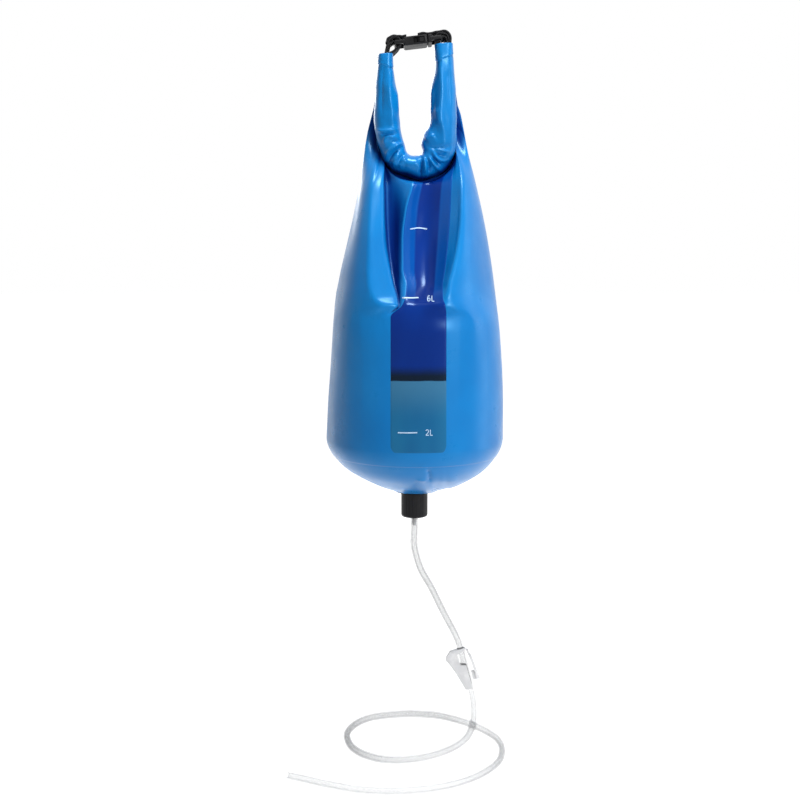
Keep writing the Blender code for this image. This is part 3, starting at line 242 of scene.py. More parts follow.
class Shader:
    """A Principled material with short calls for the nodes that feed it."""

    def __init__(self, name, **values):
        self.material = bpy.data.materials.new(name)
        self.material.use_nodes = True
        self.tree = self.material.node_tree
        self.principled = self.tree.nodes["Principled BSDF"]
        self.set(**values)

    def set(self, **values):
        """Feeds sockets of the Principled node, whose names are written with underscores."""
        for key, value in values.items():
            self.feed(self.principled.inputs[key.replace("_", " ")], value)

    def feed(self, socket, value):
        if isinstance(value, bpy.types.NodeSocket):
            self.tree.links.new(value, socket)
        else:
            socket.default_value = (*value, 1.0) if socket.type == "RGBA" else value

    def node(self, kind, inputs=None, **settings):
        made = self.tree.nodes.new(kind)
        for key, value in settings.items():
            setattr(made, key, value)
        for key, value in (inputs or {}).items():
            self.feed(made.inputs[key], value)
        return made

    def place(self, kind="Object"):
        return self.node("ShaderNodeTexCoord").outputs[kind]

    def stretched(self, vector, scale):
        return self.node("ShaderNodeMapping", {"Vector": vector, "Scale": scale}).outputs["Vector"]

    def noise(self, vector, scale, detail=2.0, roughness=0.5):
        inputs = {"Vector": vector, "Scale": scale, "Detail": detail, "Roughness": roughness}
        return self.node("ShaderNodeTexNoise", inputs).outputs["Fac"]

    def math(self, operation, a, b=0.0):
        return self.node("ShaderNodeMath", {0: a, 1: b}, operation=operation).outputs[0]

    def ramp(self, value, low, high, out_low=0.0, out_high=1.0):
        inputs = {"Value": value, "From Min": low, "From Max": high, "To Min": out_low, "To Max": out_high}
        return self.node("ShaderNodeMapRange", inputs, interpolation_type="SMOOTHSTEP").outputs[0]

    def mix(self, share, a, b):
        return self.node("ShaderNodeMix", {"Factor": share, "A": a, "B": b}, data_type="RGBA").outputs["Result"]

    def separate(self, vector):
        return self.node("ShaderNodeSeparateXYZ", {"Vector": vector}).outputs

    def bump(self, height, strength, distance):
        inputs = {"Height": height, "Strength": strength, "Distance": distance}
        return self.node("ShaderNodeBump", inputs).outputs["Normal"]


FABRIC_TONES = (linear(3, 112, 184), linear(8, 124, 197))
FABRIC_CLOUD = linear(3, 101, 175)
CLOUD_SHARE = 0.22
# Painted shade: the colour the fabric takes in recesses, under the roll and in fold valleys
FABRIC_PAINTED_SHADE = linear(2, 36, 116)
FABRIC_SHINE = (0.30, 0.72, 1.0)
# How far away a surface still darkens the fabric of a recess with painted shade
PAINTED_SHADE_REACH = 0.045
ROLL_PAINTED_SHADE_REACH = 0.016


def coated_fabric(name, reach, deepest, open_air):
    """Blue fabric with a glossy film: faint weave, small creases and a slow change of colour.

    Painted shade darkens it in recesses: it is darkest where the share of open air within reach is deepest, and plain
    from open_air on.
    """
    s = Shader(name, Coat_Weight=0.02, Coat_Roughness=0.12, Specular_IOR_Level=0.48, Specular_Tint=FABRIC_SHINE)
    place = s.place()
    slow = s.noise(place, 9.0, 3.0)
    cloudy = s.noise(place, 40.0, 2.0, 0.4)
    tone = s.mix(s.ramp(slow, 0.3, 0.7), *FABRIC_TONES)
    colour = s.mix(s.math("MULTIPLY", s.ramp(cloudy, 0.2, 0.8), CLOUD_SHARE), tone, FABRIC_CLOUD)
    ripple = s.noise(s.stretched(place, (1.0, 1.0, 0.45)), 30.0)
    # Painted shade: ambient occlusion within reach darkens the base colour in recesses and folds
    shade = s.node("ShaderNodeAmbientOcclusion", {"Distance": reach}, samples=16).outputs["AO"]
    weave = s.math("MULTIPLY", s.noise(place, 1600.0, 1.0), 0.05)
    s.set(
        Base_Color=s.mix(s.ramp(shade, deepest, open_air), FABRIC_PAINTED_SHADE, colour),
        Roughness=s.math("ADD", s.ramp(cloudy, 0.2, 0.8, 0.24, 0.34), weave),
        Normal=s.bump(ripple, 0.16, 0.0012),
    )
    return s.material


FABRIC_BLUE = coated_fabric("blue coated fabric", PAINTED_SHADE_REACH, 0.38, 0.97)
ROLL_BLUE = coated_fabric("blue rolled fabric", ROLL_PAINTED_SHADE_REACH, 0.15, 0.80)


def moulded(name, colour, roughness, grain=0.12):
    """Moulded plastic with a fine matt grain and rubbed patches."""
    s = Shader(name, Specular_IOR_Level=0.14)
    place = s.place()
    worn = s.noise(place, 60.0, 4.0, 0.6)
    lighter = tuple(min(1.0, c * 1.25 + 0.008) for c in colour)
    s.set(
        Base_Color=s.mix(s.ramp(worn, 0.45, 0.8), colour, lighter),
        Roughness=s.ramp(worn, 0.3, 0.75, roughness - 0.05, roughness + 0.08),
        Normal=s.bump(s.noise(place, 2600.0), grain, 0.0001),
    )
    return s.material


def filter_sheet():
    s = Shader("filter paper", Roughness=0.92, Specular_IOR_Level=0.2)
    fibres = s.noise(s.stretched(s.place(), (1.0, 1.0, 3.0)), 900.0, 4.0, 0.7)
    s.set(
        Base_Color=s.mix(fibres, (0.80, 0.79, 0.73), (0.90, 0.89, 0.85)),
        Normal=s.bump(fibres, 0.3, 0.0003),
    )
    return s.material


STRAP_RIBS = 22


def woven_strap():
    """Black webbing: a fine herringbone of ribs, from the strap's own coordinates."""
    s = Shader("black webbing", Roughness=0.7, Specular_IOR_Level=0.2, Sheen_Weight=0.05, Sheen_Roughness=0.4)
    u, v, _ = s.separate(s.place("UV"))
    across = s.math("SINE", s.math("MULTIPLY", u, 2 * math.pi * STRAP_RIBS))
    lean = s.math("ADD", s.math("MULTIPLY", v, 2 * math.pi * 900), s.math("MULTIPLY", across, 1.6))
    ribs = s.math("ADD", s.math("MULTIPLY", s.math("SINE", lean), 0.5), 0.5)
    s.set(
        Base_Color=s.mix(ribs, (0.004, 0.004, 0.005), (0.016, 0.016, 0.018)),
        Normal=s.bump(ribs, 0.6, 0.0003),
    )
    return s.material


WEBBING = woven_strap()

# The materials of the pieces that keep their own shape, with the nodes that wear them
PLAIN_MATERIALS = (
    (
        moulded("black moulded plastic", (0.008, 0.008, 0.009), 0.38),
        "buckle_female buckle_male prong_front prong_back outlet_spigot cap_nut filter_base filter_cap",
    ),
    (moulded("white moulded plastic", (0.80, 0.80, 0.81), 0.40, 0.06), "clamp_base clamp_arm filter_core hose_tail"),
    (moulded("seal rubber", (0.03, 0.03, 0.03), 0.7), "seal_washer filter_oring"),
    (moulded("grey stiffener", (0.28, 0.29, 0.31), 0.5), "stiffener_strip"),
    (filter_sheet(), "filter_media"),
)


def clear_tube(name, grey, thin, thick):
    """Clear flexible hose: see-through in the middle, denser where its wall is seen edge on."""
    s = Shader(name, IOR=1.40, Specular_IOR_Level=0.12)
    haze = s.noise(s.place(), 70.0)
    facing = s.node("ShaderNodeLayerWeight", {"Blend": 0.5}).outputs["Facing"]
    low = (grey, grey + 0.01, grey + 0.02)
    s.set(
        Base_Color=s.mix(haze, low, tuple(value + 0.07 for value in low)),
        Alpha=s.ramp(facing, 0.10, 0.75, thin, thick),
        Roughness=s.ramp(haze, 0.3, 0.8, 0.10, 0.20),
    )
    return s.material


# Above the clamp the hose stands full of water and looks greyer; below it is drained, and its colour is also painted
# lighter to stand in for light that its stretch on the floor does not get
FULL_TUBE = clear_tube("clear hose with water", 0.26, 0.20, 0.42)
DRAINED_AND_LIT_TUBE = clear_tube("clear hose drained and painted lighter", 0.34, 0.18, 0.33)

# The hose

OUTLET_TOP_Z = -0.5086132
CLAMP_ENTRY = np.array((0.0541, 0.0400, -0.6851))
CLAMP_EXIT = np.array((0.0658, 0.0325, -0.7302))
# Its route in millimetres: from the outlet towards the clamp, from the clamp down to the floor in a turn that
# is wider than the solid's, and on the floor to the bare end (across and back only)
HOSE_AIR = numbers("-1.6,1.0,-549.0 5.6,7.7,-577.4 17.5,18.0,-601.5 32.1,30.3,-634.5", MM)
HOSE_DROP = numbers(
    "67.1,31.3,-735.6 68.7,27.7,-744.1 69.2,22.4,-751.7 68.8,15.9,-758.3 67.4,8.7,-763.8 64.6,1.0,-768.4 "
    "60.5,-6.6,-771.9 55.0,-14.0,-774.5 48.2,-20.8,-776.5 40.4,-27.0,-777.9 31.8,-32.3,-779.1 22.6,-36.7,-780.2 "
    "13.1,-40.0,-781.2 3.2,-42.2,-782.1 -6.7,-43.1,-783.0 -16.6,-42.8,-783.9 -26.2,-41.1,-784.7 "
    "-35.5,-38.1,-785.4 -44.3,-33.6,-786.0",
    MM,
)
HOSE_FLOOR = numbers(
    "-62.4,-18.3 -73.5,-1.7 -79.0,16.0 -80.5,36.0 -71.4,62.1 -54.9,79.9 -30.2,89.0 -2.9,92.0 31.8,86.0 55.8,71.5 "
    "72.0,57.5 86.0,40.5 96.9,20.0 100.2,-4.6 95.0,-34.5 81.9,-57.7 64.0,-76.8 35.9,-95.2 3.5,-105.4 "
    "-28.4,-108.7 -60.3,-105.4 -93.0,-94.1 -121.0,-81.4 -141.5,-72.1",
    MM,
)
HOSE_FLOOR_Z = -0.7871
# How far the hose runs straight at the outlet and before the clamp
STRAIGHT_EXIT = 0.025
STRAIGHT_ENTRY = 0.006
# The stretch that the clamp's nub flattens, in metres down from where the hose enters the clamp
PINCH_START = 0.0225
PINCH_END = 0.0430
# How strongly the hose keeps its direction at the two ends of its bend into the clamp
BEND_START = 0.9
BEND_END = 0.6
BEND_SHARES = (0.33, 0.66)


def hose_lines():
    """The three stretches of the hose: to the clamp, in it, and on to the bare end."""
    top = np.array((BAG_AXIS_X, 0.0, OUTLET_TOP_Z))
    straight = top - (0.0, 0.0, STRAIGHT_EXIT)
    axis = unit(CLAMP_EXIT - CLAMP_ENTRY)
    before = CLAMP_ENTRY - axis * STRAIGHT_ENTRY
    start = CLAMP_ENTRY + axis * PINCH_START
    end = CLAMP_ENTRY + axis * PINCH_END
    reach = before - HOSE_AIR[-1]
    arriving = axis * np.linalg.norm(reach) * BEND_END
    bend = [hermite(t, HOSE_AIR[-1], reach * BEND_START, before, arriving) for t in BEND_SHARES]
    floor = [(x, y, HOSE_FLOOR_Z) for x, y in HOSE_FLOOR]
    upper = [top, (top + straight) / 2, straight, *HOSE_AIR, *bend, before, start]
    return upper, [start, (start + end) / 2, end], [end, CLAMP_EXIT, *HOSE_DROP, *floor]


TUBE_SIDES = 28
TUBE_LIP = 0.0004


def tube_rings(line, radius):
    """Rings of points round a line, turned as little as possible from one to the next."""
    ahead = directions(line)
    side = np.cross(ahead[0], (0.0, 1.0, 0.0))
    rings = []
    turn = (2 * np.pi * np.arange(TUBE_SIDES) / TUBE_SIDES)[:, None]
    for place, forward in zip(line, ahead):
        side = unit(side - forward * (side @ forward))
        rings.append(place + radius * (np.cos(turn) * side + np.sin(turn) * np.cross(forward, side)))
    return np.array(rings)


def tube(name, line, material, cut_start, cut_end):
    """A hollow tube. A cut end is closed with a rounded rim, and any other end stays open for the next stretch."""
    outside, inside, rims = (tube_rings(line, r) for r in (HOSE_RADIUS, HOSE_BORE, HOSE_RADIUS - TUBE_LIP))
    ahead = directions(line)
    if cut_start:
        outside[0] += ahead[0] * TUBE_LIP
    if cut_end:
        outside[-1] -= ahead[-1] * TUBE_LIP
    points = np.concatenate([rims[:1], outside, rims[-1:], inside[::-1]])
    piece = grid_object(name, points[:, ::-1], material, closed_u=True, closed_v=True)
    count = len(line)
    open_rows = ([] if cut_start else [0, 2 * count + 1]) + ([] if cut_end else [count, count + 1])
    shape = bmesh.new()
    shape.from_mesh(piece.data)
    shape.faces.ensure_lookup_table()
    gone = [shape.faces[row * TUBE_SIDES + k] for row in open_rows for k in range(TUBE_SIDES)]
    bmesh.ops.delete(shape, geom=gone, context="FACES")
    shape.to_mesh(piece.data)
    shape.free()
    return piece


# The hose's stretches: node, points along it, material, and which of its ends are cut
HOSE_STRETCHES = (
    ("hose_upper", 110, FULL_TUBE, True, False),
    ("hose_pinch", 60, FULL_TUBE, False, False),
    ("hose_lower", 420, DRAINED_AND_LIT_TUBE, False, True),
)


def make_hose():
    """Makes each stretch of the hose with its line, and gives back the pinched stretch with its line."""
    made = []
    for points, (node, count, material, cut_start, cut_end) in zip(hose_lines(), HOSE_STRETCHES):
        line = evenly(catmull(points, 24), count)
        piece = tube(f"{node}_tube", line, material, cut_start, cut_end)
        dress(piece, node)
        made.append((piece, line))
    return made[1]


def flatten_pinch(piece, line):
    """Gives the pinched stretch a mesh of its own."""
    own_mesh(piece)


flatten_pinch(*make_hose())

# The rolled mouth

# Its edges in the photograph, left end to right end: outer column and row, inner column and row
ROLL_EDGES = numbers(
    "379.2,56.8,392.6,56 378,65,392.6,65.5 376.4,80,394.6,78.5 375.2,100,397.8,99 374.2,121,399.4,119 "
    "376.2,136,401.6,135 380.2,150,404.2,144.5 384.5,161.5,406.4,151.5 393,170.3,409.5,155.3 "
    "404.5,174.8,413.8,156.3 418,179.4,418,155.6 431.5,177.2,421.6,153.6 443.5,171.2,422.2,149 "
    "451,161.5,421.2,143 455.4,148.5,423.6,134.5 456.4,130,429.2,125 456.2,110,430.6,109 455.4,90,430.9,90 "
    "454,72,434.4,72 452.8,58,434.9,59 451.7,45.8,434.8,47.2"
)


def roll_line(count):
    """Middle points (x, z, half thickness) and outward directions of the roll, evenly by share."""
    edges = [[*seen(a, b, 0.0)[[0, 2]], *seen(c, d, 0.0)[[0, 2]]] for a, b, c, d in ROLL_EDGES]
    line = catmull(edges, 40)
    at = length_along((line[:, :2] + line[:, 2:]) / 2)
    shares = np.linspace(0.0, 1.0, count)
    line = np.stack([np.interp(shares, at / at[-1], line[:, k]) for k in range(4)], -1)
    outward = line[:, :2] - line[:, 2:]
    half = np.linalg.norm(outward, axis=1) / 2
    middle = np.column_stack([(line[:, :2] + line[:, 2:]) / 2, half])
    return shares, middle, outward / (2 * half[:, None])


ROLL_SHARES, ROLL_MIDDLE, ROLL_OUTWARD = roll_line(601)
# The section's power in the roll's middle, what its ends add and how late, from an oval to nearly a rectangle
ROLL_POWER = 2.15
ROLL_END_POWER = 1.5
ROLL_END_LATE = 6


def power_of(wave, power):
    """A sine or cosine raised to a power with its sign kept."""
    return np.sign(wave) * np.abs(wave) ** power


def roll_surface(share, turn, layer, lift=0.0):
    """Points of the roll's layers. turn is 0 on the loop's outer side and grows towards the front."""
    share, turn, layer, lift = np.broadcast_arrays(*(np.asarray(v, float) for v in (share, turn, layer, lift)))
    middle = np.stack([np.interp(share, ROLL_SHARES, ROLL_MIDDLE[:, k]) for k in range(3)], -1)
    outward = np.stack([np.interp(share, ROLL_SHARES, ROLL_OUTWARD[:, k]) for k in range(2)], -1)
    power = 2.0 / (ROLL_POWER + ROLL_END_POWER * np.abs(2 * share - 1) ** ROLL_END_LATE)
    width = ROLL_CORE_WIDTH + (ROLL_HALF_WIDTH - ROLL_CORE_WIDTH) * layer
    out = power_of(np.cos(turn), power) * (middle[..., 2] * layer + lift)
    across = power_of(np.sin(turn), power) * (width + lift)
    return np.stack([middle[..., 0] + outward[..., 0] * out, -across, middle[..., 1] + outward[..., 1] * out], -1)


ROLL_TURNS = 1.75
# Size of the winding against the roll's section, by turns from the strip's start
ROLL_LAYER_TURNS = (0.0, 0.72, 1.0, ROLL_TURNS)
ROLL_LAYER_SHARES = (1.0, 0.985, 0.90, ROLL_CORE_SHARE)
ROLL_STATIONS = 440
ROLL_STEPS = 100

# Folds of the roll: height and half width in millimetres, then a line of (column, row) in the photograph.
# A crest has a positive height and a crease a negative one.
ROLL_FOLDS = (
    (2.2, 3.6, "390.5,72 388.9,84 389.6,100 391.3,112 391.6,122 395.0,131"),
    (-1.0, 2.6, "383.2,62 382.2,80 381.6,100 382.2,118"),
    (1.0, 3.0, "397.6,86 396.8,104 398.0,118"),
    (1.5, 2.2, "375.5,129.5 382,131 390,130.4 395.5,129"),
    (-1.5, 2.0, "380,134.6 388,134.4 396,133.6"),
    (1.6, 2.0, "396.5,137.5 388,136.8 385.2,140.5 386.2,146"),
    (-1.2, 1.8, "390.5,141.5 396,141 401,143"),
    (2.0, 2.0, "402.5,142.5 395,146.5 389,151.5 386.2,160"),
    (-1.9, 1.9, "401.5,147.5 395,151.5 390.5,156.5 388.2,163"),
    (1.4, 2.4, "399.5,152.5 395.5,159 393.5,167"),
    (-1.6, 2.0, "404.5,154 400.5,158.5 398.6,166"),
    (1.5, 2.6, "407.5,158 401,162 399.8,168.5"),
    (1.2, 5.0, "404,163.5 412,164 420,162.5"),
    (-2.3, 1.5, "421.3,157.8 421.4,166 420.3,178"),
    (1.8, 1.7, "424.5,156.8 425.2,165 425.6,174"),
    (-1.7, 1.8, "427.3,160.5 429.3,167 428.3,173.5"),
    (1.9, 1.8, "428.8,157 432.5,162.5 437.5,168.3 441.5,171.5"),
    (-1.8, 1.6, "431.5,155.5 436,161 441.8,165.6"),
    (1.9, 1.7, "433,150.6 435,155.5 440.5,160.2 448,159.8"),
    (-1.3, 1.5, "435.6,151.6 439.5,155.2 446,156"),
    (1.5, 1.7, "433,151 437,149.6 443,150.6 449,152"),
    (-1.4, 2.4, "428,146.6 436,148.2 446,147 453,145.6"),
    (2.1, 3.6, "441.2,46 441.6,70 442.0,92 441.2,106 441.4,118 443.2,132 444.4,146"),
    (1.4, 4.0, "437,106 438.5,116 441,127"),
    (-0.5, 3.0, "435.4,88 434.2,104 431.6,118"),
    (1.0, 2.0, "432.2,84 432.0,104 431.4,120"),
    (1.8, 4.2, "425.5,141.5 430.5,137.5 435.5,134.5"),
    (-0.9, 3.0, "448.6,66 449.2,90 450.0,112"),
)
# Hems at the left and the right end of the roll: a step of fabric along a line
ROLL_HEMS = ("376,63.2 384,64.2 389.5,66.6 394,67.4", "433,60.6 440,59.6 446,56.8 454,53.4")
HEM_STEP_MM = 0.9


def line_distance(px, py, line):
    """Distance of points from a line in the photograph, the share of its length and the side."""
    path = catmull(line, 8) if len(line) > 2 else line
    length = length_along(path)
    best = np.full(px.shape, np.inf)
    share = np.zeros(px.shape)
    side = np.zeros(px.shape)
    for (ax, ay), (bx, by), start, step in zip(path, path[1:], length, np.diff(length)):
        t = np.clip(((px - ax) * (bx - ax) + (py - ay) * (by - ay)) / step**2, 0.0, 1.0)
        dx = px - ax - t * (bx - ax)
        dy = py - ay - t * (by - ay)
        distance = np.hypot(dx, dy)
        closer = distance < best
        best = np.where(closer, distance, best)
        share = np.where(closer, (start + t * step) / length[-1], share)
        side = np.where(closer, np.sign((bx - ax) * dy - (by - ay) * dx), side)
    return best, share, side


MM_PER_PX = 1.09
# What all folds are scaled by, the share of their length over which they rise, their least height there, and how
# sharply they end to the sides
FOLD_HEIGHT = 1.45
FOLD_RISE = 0.30
FOLD_LEAST = 0.25
FOLD_EDGE = 1.4


def fold_lift(points, folds):
    """Height in metres that the given folds add to points of a soft surface."""
    px, py = project(points)
    lift = np.zeros(px.shape)
    for height, width, text in folds:
        distance, share, _ = line_distance(px, py, numbers(text))
        rise = smoothstep(0.0, FOLD_RISE, share) * smoothstep(0.0, FOLD_RISE, 1 - share)
        taper = FOLD_LEAST + (1 - FOLD_LEAST) * rise
        lift += FOLD_HEIGHT * height * MM * taper * np.exp(-((distance * MM_PER_PX / width) ** FOLD_EDGE))
    return lift


# Gathers on the roll's back: where they are strongest and how wide they reach, as shares of its length, and the
# heights of the gathers and of the waves all over
GATHERS = ((0.32, 0.09), (0.66, 0.10))
GATHER_HEIGHT = 0.0009
WAVE_HEIGHT = 0.00012
# Share of a hem's step on the roll's back, and the ranges of the turn's sine that count as front and back
HEM_BEHIND = 0.35
ROLL_FRONT = (-0.15, 0.55)
ROLL_BACK = (0.15, 0.75)


def roll_lift(points, share, turn):
    """Height of the roll's folds and hems over its smooth form."""
    front = smoothstep(*ROLL_FRONT, np.sin(turn))
    lift = fold_lift(points, ROLL_FOLDS) * front
    px, py = project(points)
    for text, own_half in zip(ROLL_HEMS, (share < 0.5, share > 0.5)):
        distance, _, side = line_distance(px, py, numbers(text))
        step = smoothstep(0.5, -0.3, distance * side) * own_half
        lift += HEM_STEP_MM * MM * step * (HEM_BEHIND + (1 - HEM_BEHIND) * front)
    behind = smoothstep(*ROLL_BACK, -np.sin(turn))
    waves = np.sin(share * 61.0 + 2.1 * np.sin(turn * 2)) + 0.6 * np.sin(share * 113.0 + 1.7 * np.cos(turn))
    gather = sum(np.exp(-(((share - middle) / reach) ** 2)) for middle, reach in GATHERS)
    return lift + waves * (WAVE_HEIGHT + GATHER_HEIGHT * gather * behind)


# Where the front and the back of the wall leave the roll, in degrees from its outer side towards the front:
# at the roll's two ends, and along its lowest stretch
WALL_TURN_FRONT = (-72.0, -6.0)
WALL_TURN_BACK = (-108.0, -50.0)
# Share of the roll's length over which its arms bend into its lowest stretch
LOW_SHARES = (0.16, 0.38)


def low_share(share):
    """1 along the roll's lowest stretch and 0 along its arms."""
    return smoothstep(*LOW_SHARES, np.minimum(share, 1 - share))


def make_roll():
    """The rolled fabric: one strip wound towards its core and swept along the bent loop."""
    share = np.linspace(0.0, 1.0, ROLL_STATIONS)[:, None]
    turns = np.arange(round(ROLL_TURNS * ROLL_STEPS) + 1)[None, :] / ROLL_STEPS
    turn = np.radians(between(WALL_TURN_BACK, low_share(share))) + 2 * np.pi * turns
    layer = np.interp(turns, ROLL_LAYER_TURNS, ROLL_LAYER_SHARES)
    share, turn, layer, turns = np.broadcast_arrays(share, turn, layer, turns)
    lift = roll_lift(roll_surface(share, turn, layer), share, turn) * np.clip(2.0 - turns, 0.0, 1.0)
    uv = np.stack([share * 0.30, turns * 0.1], -1)
    roll = grid_object("roll_top_fabric", roll_surface(share, turn, layer, lift), ROLL_BLUE, uv=uv)
    solidify(roll, 0.0)
    dress(roll, "roll_top")


make_roll()

# The reservoir

# The front has this many forms on each row, of which these two are the window's edges
FORMS = 29
LEFT_WINDOW = 15
RIGHT_WINDOW = 20
# The forms by row of the photograph: (column, depth in millimetres) from the left outline to the right
FOLD_ROWS = {
    185: "359.5,0 360,-9 361.3,-18 363.5,-26 366,-31 368.5,-34.5 371,-36.5 373.5,-37 378,-37 381.5,-36 383.6,-33.5 "
    "384.3,-27 386.5,-13 393,-15 408,-25 413,-27.5 416,-25 422,-18 429,-16 439,-20.5 452,-30 457.5,-35 461.5,-38.5 "
    "465,-37 469,-31 472,-24 474.3,-16 475.6,-8 476,0",
    210: "354.7,0 355.1,-12 356.5,-25 359,-36 362.5,-44 366.5,-49 370,-51.5 373.5,-51.5 378,-50.5 381.5,-49 383.8,-46 "
    "385,-38 386.8,-22 393.5,-24 402,-34 406,-38 410,-36 417,-29.5 427,-26 439,-31.5 451,-42 457.5,-48.5 461.5,-53 "
    "465.5,-51 471,-43 475.5,-33 479.3,-21 481.2,-10 481.7,0",
    240: "348,0 348.5,-15 350.3,-32 353.5,-46 358.5,-57 364.5,-64 369,-67.5 373.5,-67 378.5,-64.5 382.5,-62 385,-58.5 "
    "386.5,-51 388.3,-35 393.5,-37.5 399,-46 402.7,-49.5 408.5,-46 417,-39.5 427,-37.5 437.5,-44.5 449,-56 455,-63 "
    "458.8,-67.5 463,-66 470.5,-57 477,-44 482.8,-29 486.5,-14 487.5,0",
    270: "341,0 341.6,-18 343.5,-38 348,-55 355,-68 363,-76.5 368,-80.5 373,-80 379,-77.5 385.5,-75 389.7,-71.5 "
    "391,-65 391.8,-53 395.5,-57 399.3,-63 402.8,-66 408.5,-63 417,-56.5 427,-55 436,-61 445.5,-71.5 449.5,-78 "
    "452.8,-81.5 457,-80 468,-70 477.5,-55 485.5,-36 490.8,-18 492.2,0",
    285: "338,0 338.7,-19 341,-40 346,-58.5 354,-73 363.5,-82.5 369,-86.5 374,-86 380.5,-84 388,-81.5 392.8,-78.5 "
    "394.2,-73.5 394.7,-66 397,-69 401.5,-74.5 406,-76.5 410.5,-74 417,-68.5 426,-66.5 435,-72 443.2,-81.5 446.2,-85.5 "
    "448.8,-88 453.5,-86.5 466,-75.5 477.5,-59 486.5,-39.5 492.5,-20 494.1,0",
    297: "335.6,0 336.4,-20 339,-42 344.5,-61.5 353.5,-77 365.5,-87.5 372.8,-91.5 377.5,-91.2 383.5,-89.5 390.5,-87.5 "
    "395.5,-85.5 397.3,-82.5 397.8,-78 398.6,-79.5 401.5,-83.5 404.8,-85 408.5,-84 415,-81.5 425,-81.5 434,-86 "
    "443.3,-90.8 446,-92.3 448.5,-92.3 452.5,-90.7 464.5,-81 477,-64.5 487.5,-43 494,-21.5 495.6,0",
    306: "334.7,0 335.5,-20.5 338.2,-43 344,-63.5 354.5,-80 370.5,-91.5 380.3,-95.3 384,-95.3 388,-94.8 392.5,-94 "
    "396.5,-92.8 398.2,-91 398.9,-88.5 399.3,-88.5 400,-89.7 401.3,-91.3 405.5,-92.8 415,-92.5 426,-94 435,-95 "
    "446,-95 449,-94.4 452,-93.5 455.5,-92 465.5,-84 478,-67 488.5,-44.5 495,-22.5 496.6,0",
}
# Outline of the bag: row, left and right column
OUTLINE = numbers(
    "185,359,476 220,353,484 260,343,491 300,335,496 340,333,500 380,330,502 420,327,503 436,326.7,502.4"
)
# Where a smooth row keeps the forms, in degrees from the left outline
FORM_TURNS = numbers(
    "0,12,26,41,52,58,61.5,63.5,65.5,67,68.3,69.2,70,70.6,71.2,71.8,79,87,95,103,112,114.5,117,121,131,143,156,168,180"
)[0]
WINDOW_LEFT_PX = 390.0
WINDOW_RIGHT_PX = 447.0
SMOOTH_ROWS = (316, 330, 360, 400, 436)
# Depth of the bag's back and of the valley in it, by row
BACK_ROWS = numbers(
    "185,38,0.62 210,53,0.5 240,68,0.42 270,82,0.28 285,88,0.2 297,92,0.11 306,95,0.05 316,97,0 330,98.5,0 "
    "436,98.5,0"
)
# Power of the bag's section under the folds, by row, at its left and its right
FULL_ROWS = (310, 316, 330, 360, 400, 436)
FULL_POWERS = ((2.9, 2.85, 2.7, 2.4, 2.12, 2.0), (2.45, 2.42, 2.35, 2.22, 2.08, 2.0))
BACK_TURNS = np.radians(np.arange(18, 180, 18))
TOP_ROW = 185
EQUATOR_ROW = 436
COLUMNS_LEFT = 112
COLUMNS_WINDOW = 50
COLUMNS_RIGHT = 82
COLUMNS_BACK = 96
FRONT_COLUMNS = COLUMNS_LEFT + COLUMNS_WINDOW + COLUMNS_RIGHT
ALL_COLUMNS = FRONT_COLUMNS + COLUMNS_BACK
# Points on a row's curve for each of its forms
FORM_STEPS = 12
# Rows between which the grid turns from the camera's rays to level
LEVEL_ROWS = (306, 340)
# Row and depth of the smooth front, and how deep its window lies in it
FRONT_ROWS = (316, 330, 436)
FRONT_DEPTHS = (0.0962, 0.098, BAG_RADIUS)
WINDOW_DEPTH_SHARE = 0.97
# Middle and width of the back's valley, in degrees from the right
VALLEY_TURN = 88
VALLEY_WIDTH = 24


def row_height(py):
    """Height of a row of the photograph at the bag's middle plane."""
    return float(seen(FRAME_PX / 2, py, 0.0)[2])


def row_slope(py):
    """Rows follow the camera's rays among the folds and lie level below them."""
    return pixel_slope(py) * (1 - float(smoothstep(*LEVEL_ROWS, py)))


def column_x(px, y, z):
    """X of a point at a known depth and height that shows in a column of the photograph."""
    return CAMERA[0] + (px - FRAME_PX / 2) / FOCAL_PX * lens_depth(y, z)


def back_half(py, left, right):
    """(x, y) of the forms behind the middle plane, from right to left."""
    rows, depths, dips = BACK_ROWS.T
    valley = np.interp(py, rows, dips) * np.exp(-(((np.degrees(BACK_TURNS) - VALLEY_TURN) / VALLEY_WIDTH) ** 2))
    x = (left + right) / 2 + (right - left) / 2 * np.cos(BACK_TURNS)
    return np.stack([x, np.interp(py, rows, depths) * MM * np.sin(BACK_TURNS) * (1 - valley)], -1)


def fullness(py, turns):
    """How far the bag's shoulders stand outside an ellipse, by row and by turn from the left outline."""
    powers = [np.interp(py, FULL_ROWS, values) for values in FULL_POWERS]
    power = np.where(turns < math.pi / 2, powers[0], powers[1])
    return (np.abs(np.cos(turns)) ** power + np.abs(np.sin(turns)) ** power) ** (-1 / power)


def smooth_front(py, left, right):
    """(x, y) of the forms on a row with no folds."""
    centre = (left + right) / 2
    half = (right - left) / 2
    depth = np.interp(py, FRONT_ROWS, FRONT_DEPTHS)
    turns = np.radians(FORM_TURNS)
    fine = np.linspace(0.0, math.pi, 721)
    fine_x = centre - half * np.cos(fine) * fullness(py, fine)
    window_x = [column_x(px, -depth * WINDOW_DEPTH_SHARE, row_height(py)) for px in (WINDOW_LEFT_PX, WINDOW_RIGHT_PX)]
    edges = np.interp(window_x, fine_x, fine)
    marks = [0.0, turns[LEFT_WINDOW], turns[RIGHT_WINDOW], math.pi]
    turns = np.interp(turns, marks, [0.0, *edges, math.pi])
    full = fullness(py, turns)
    return np.stack([centre - half * np.cos(turns) * full, -depth * np.sin(turns) * full], -1)


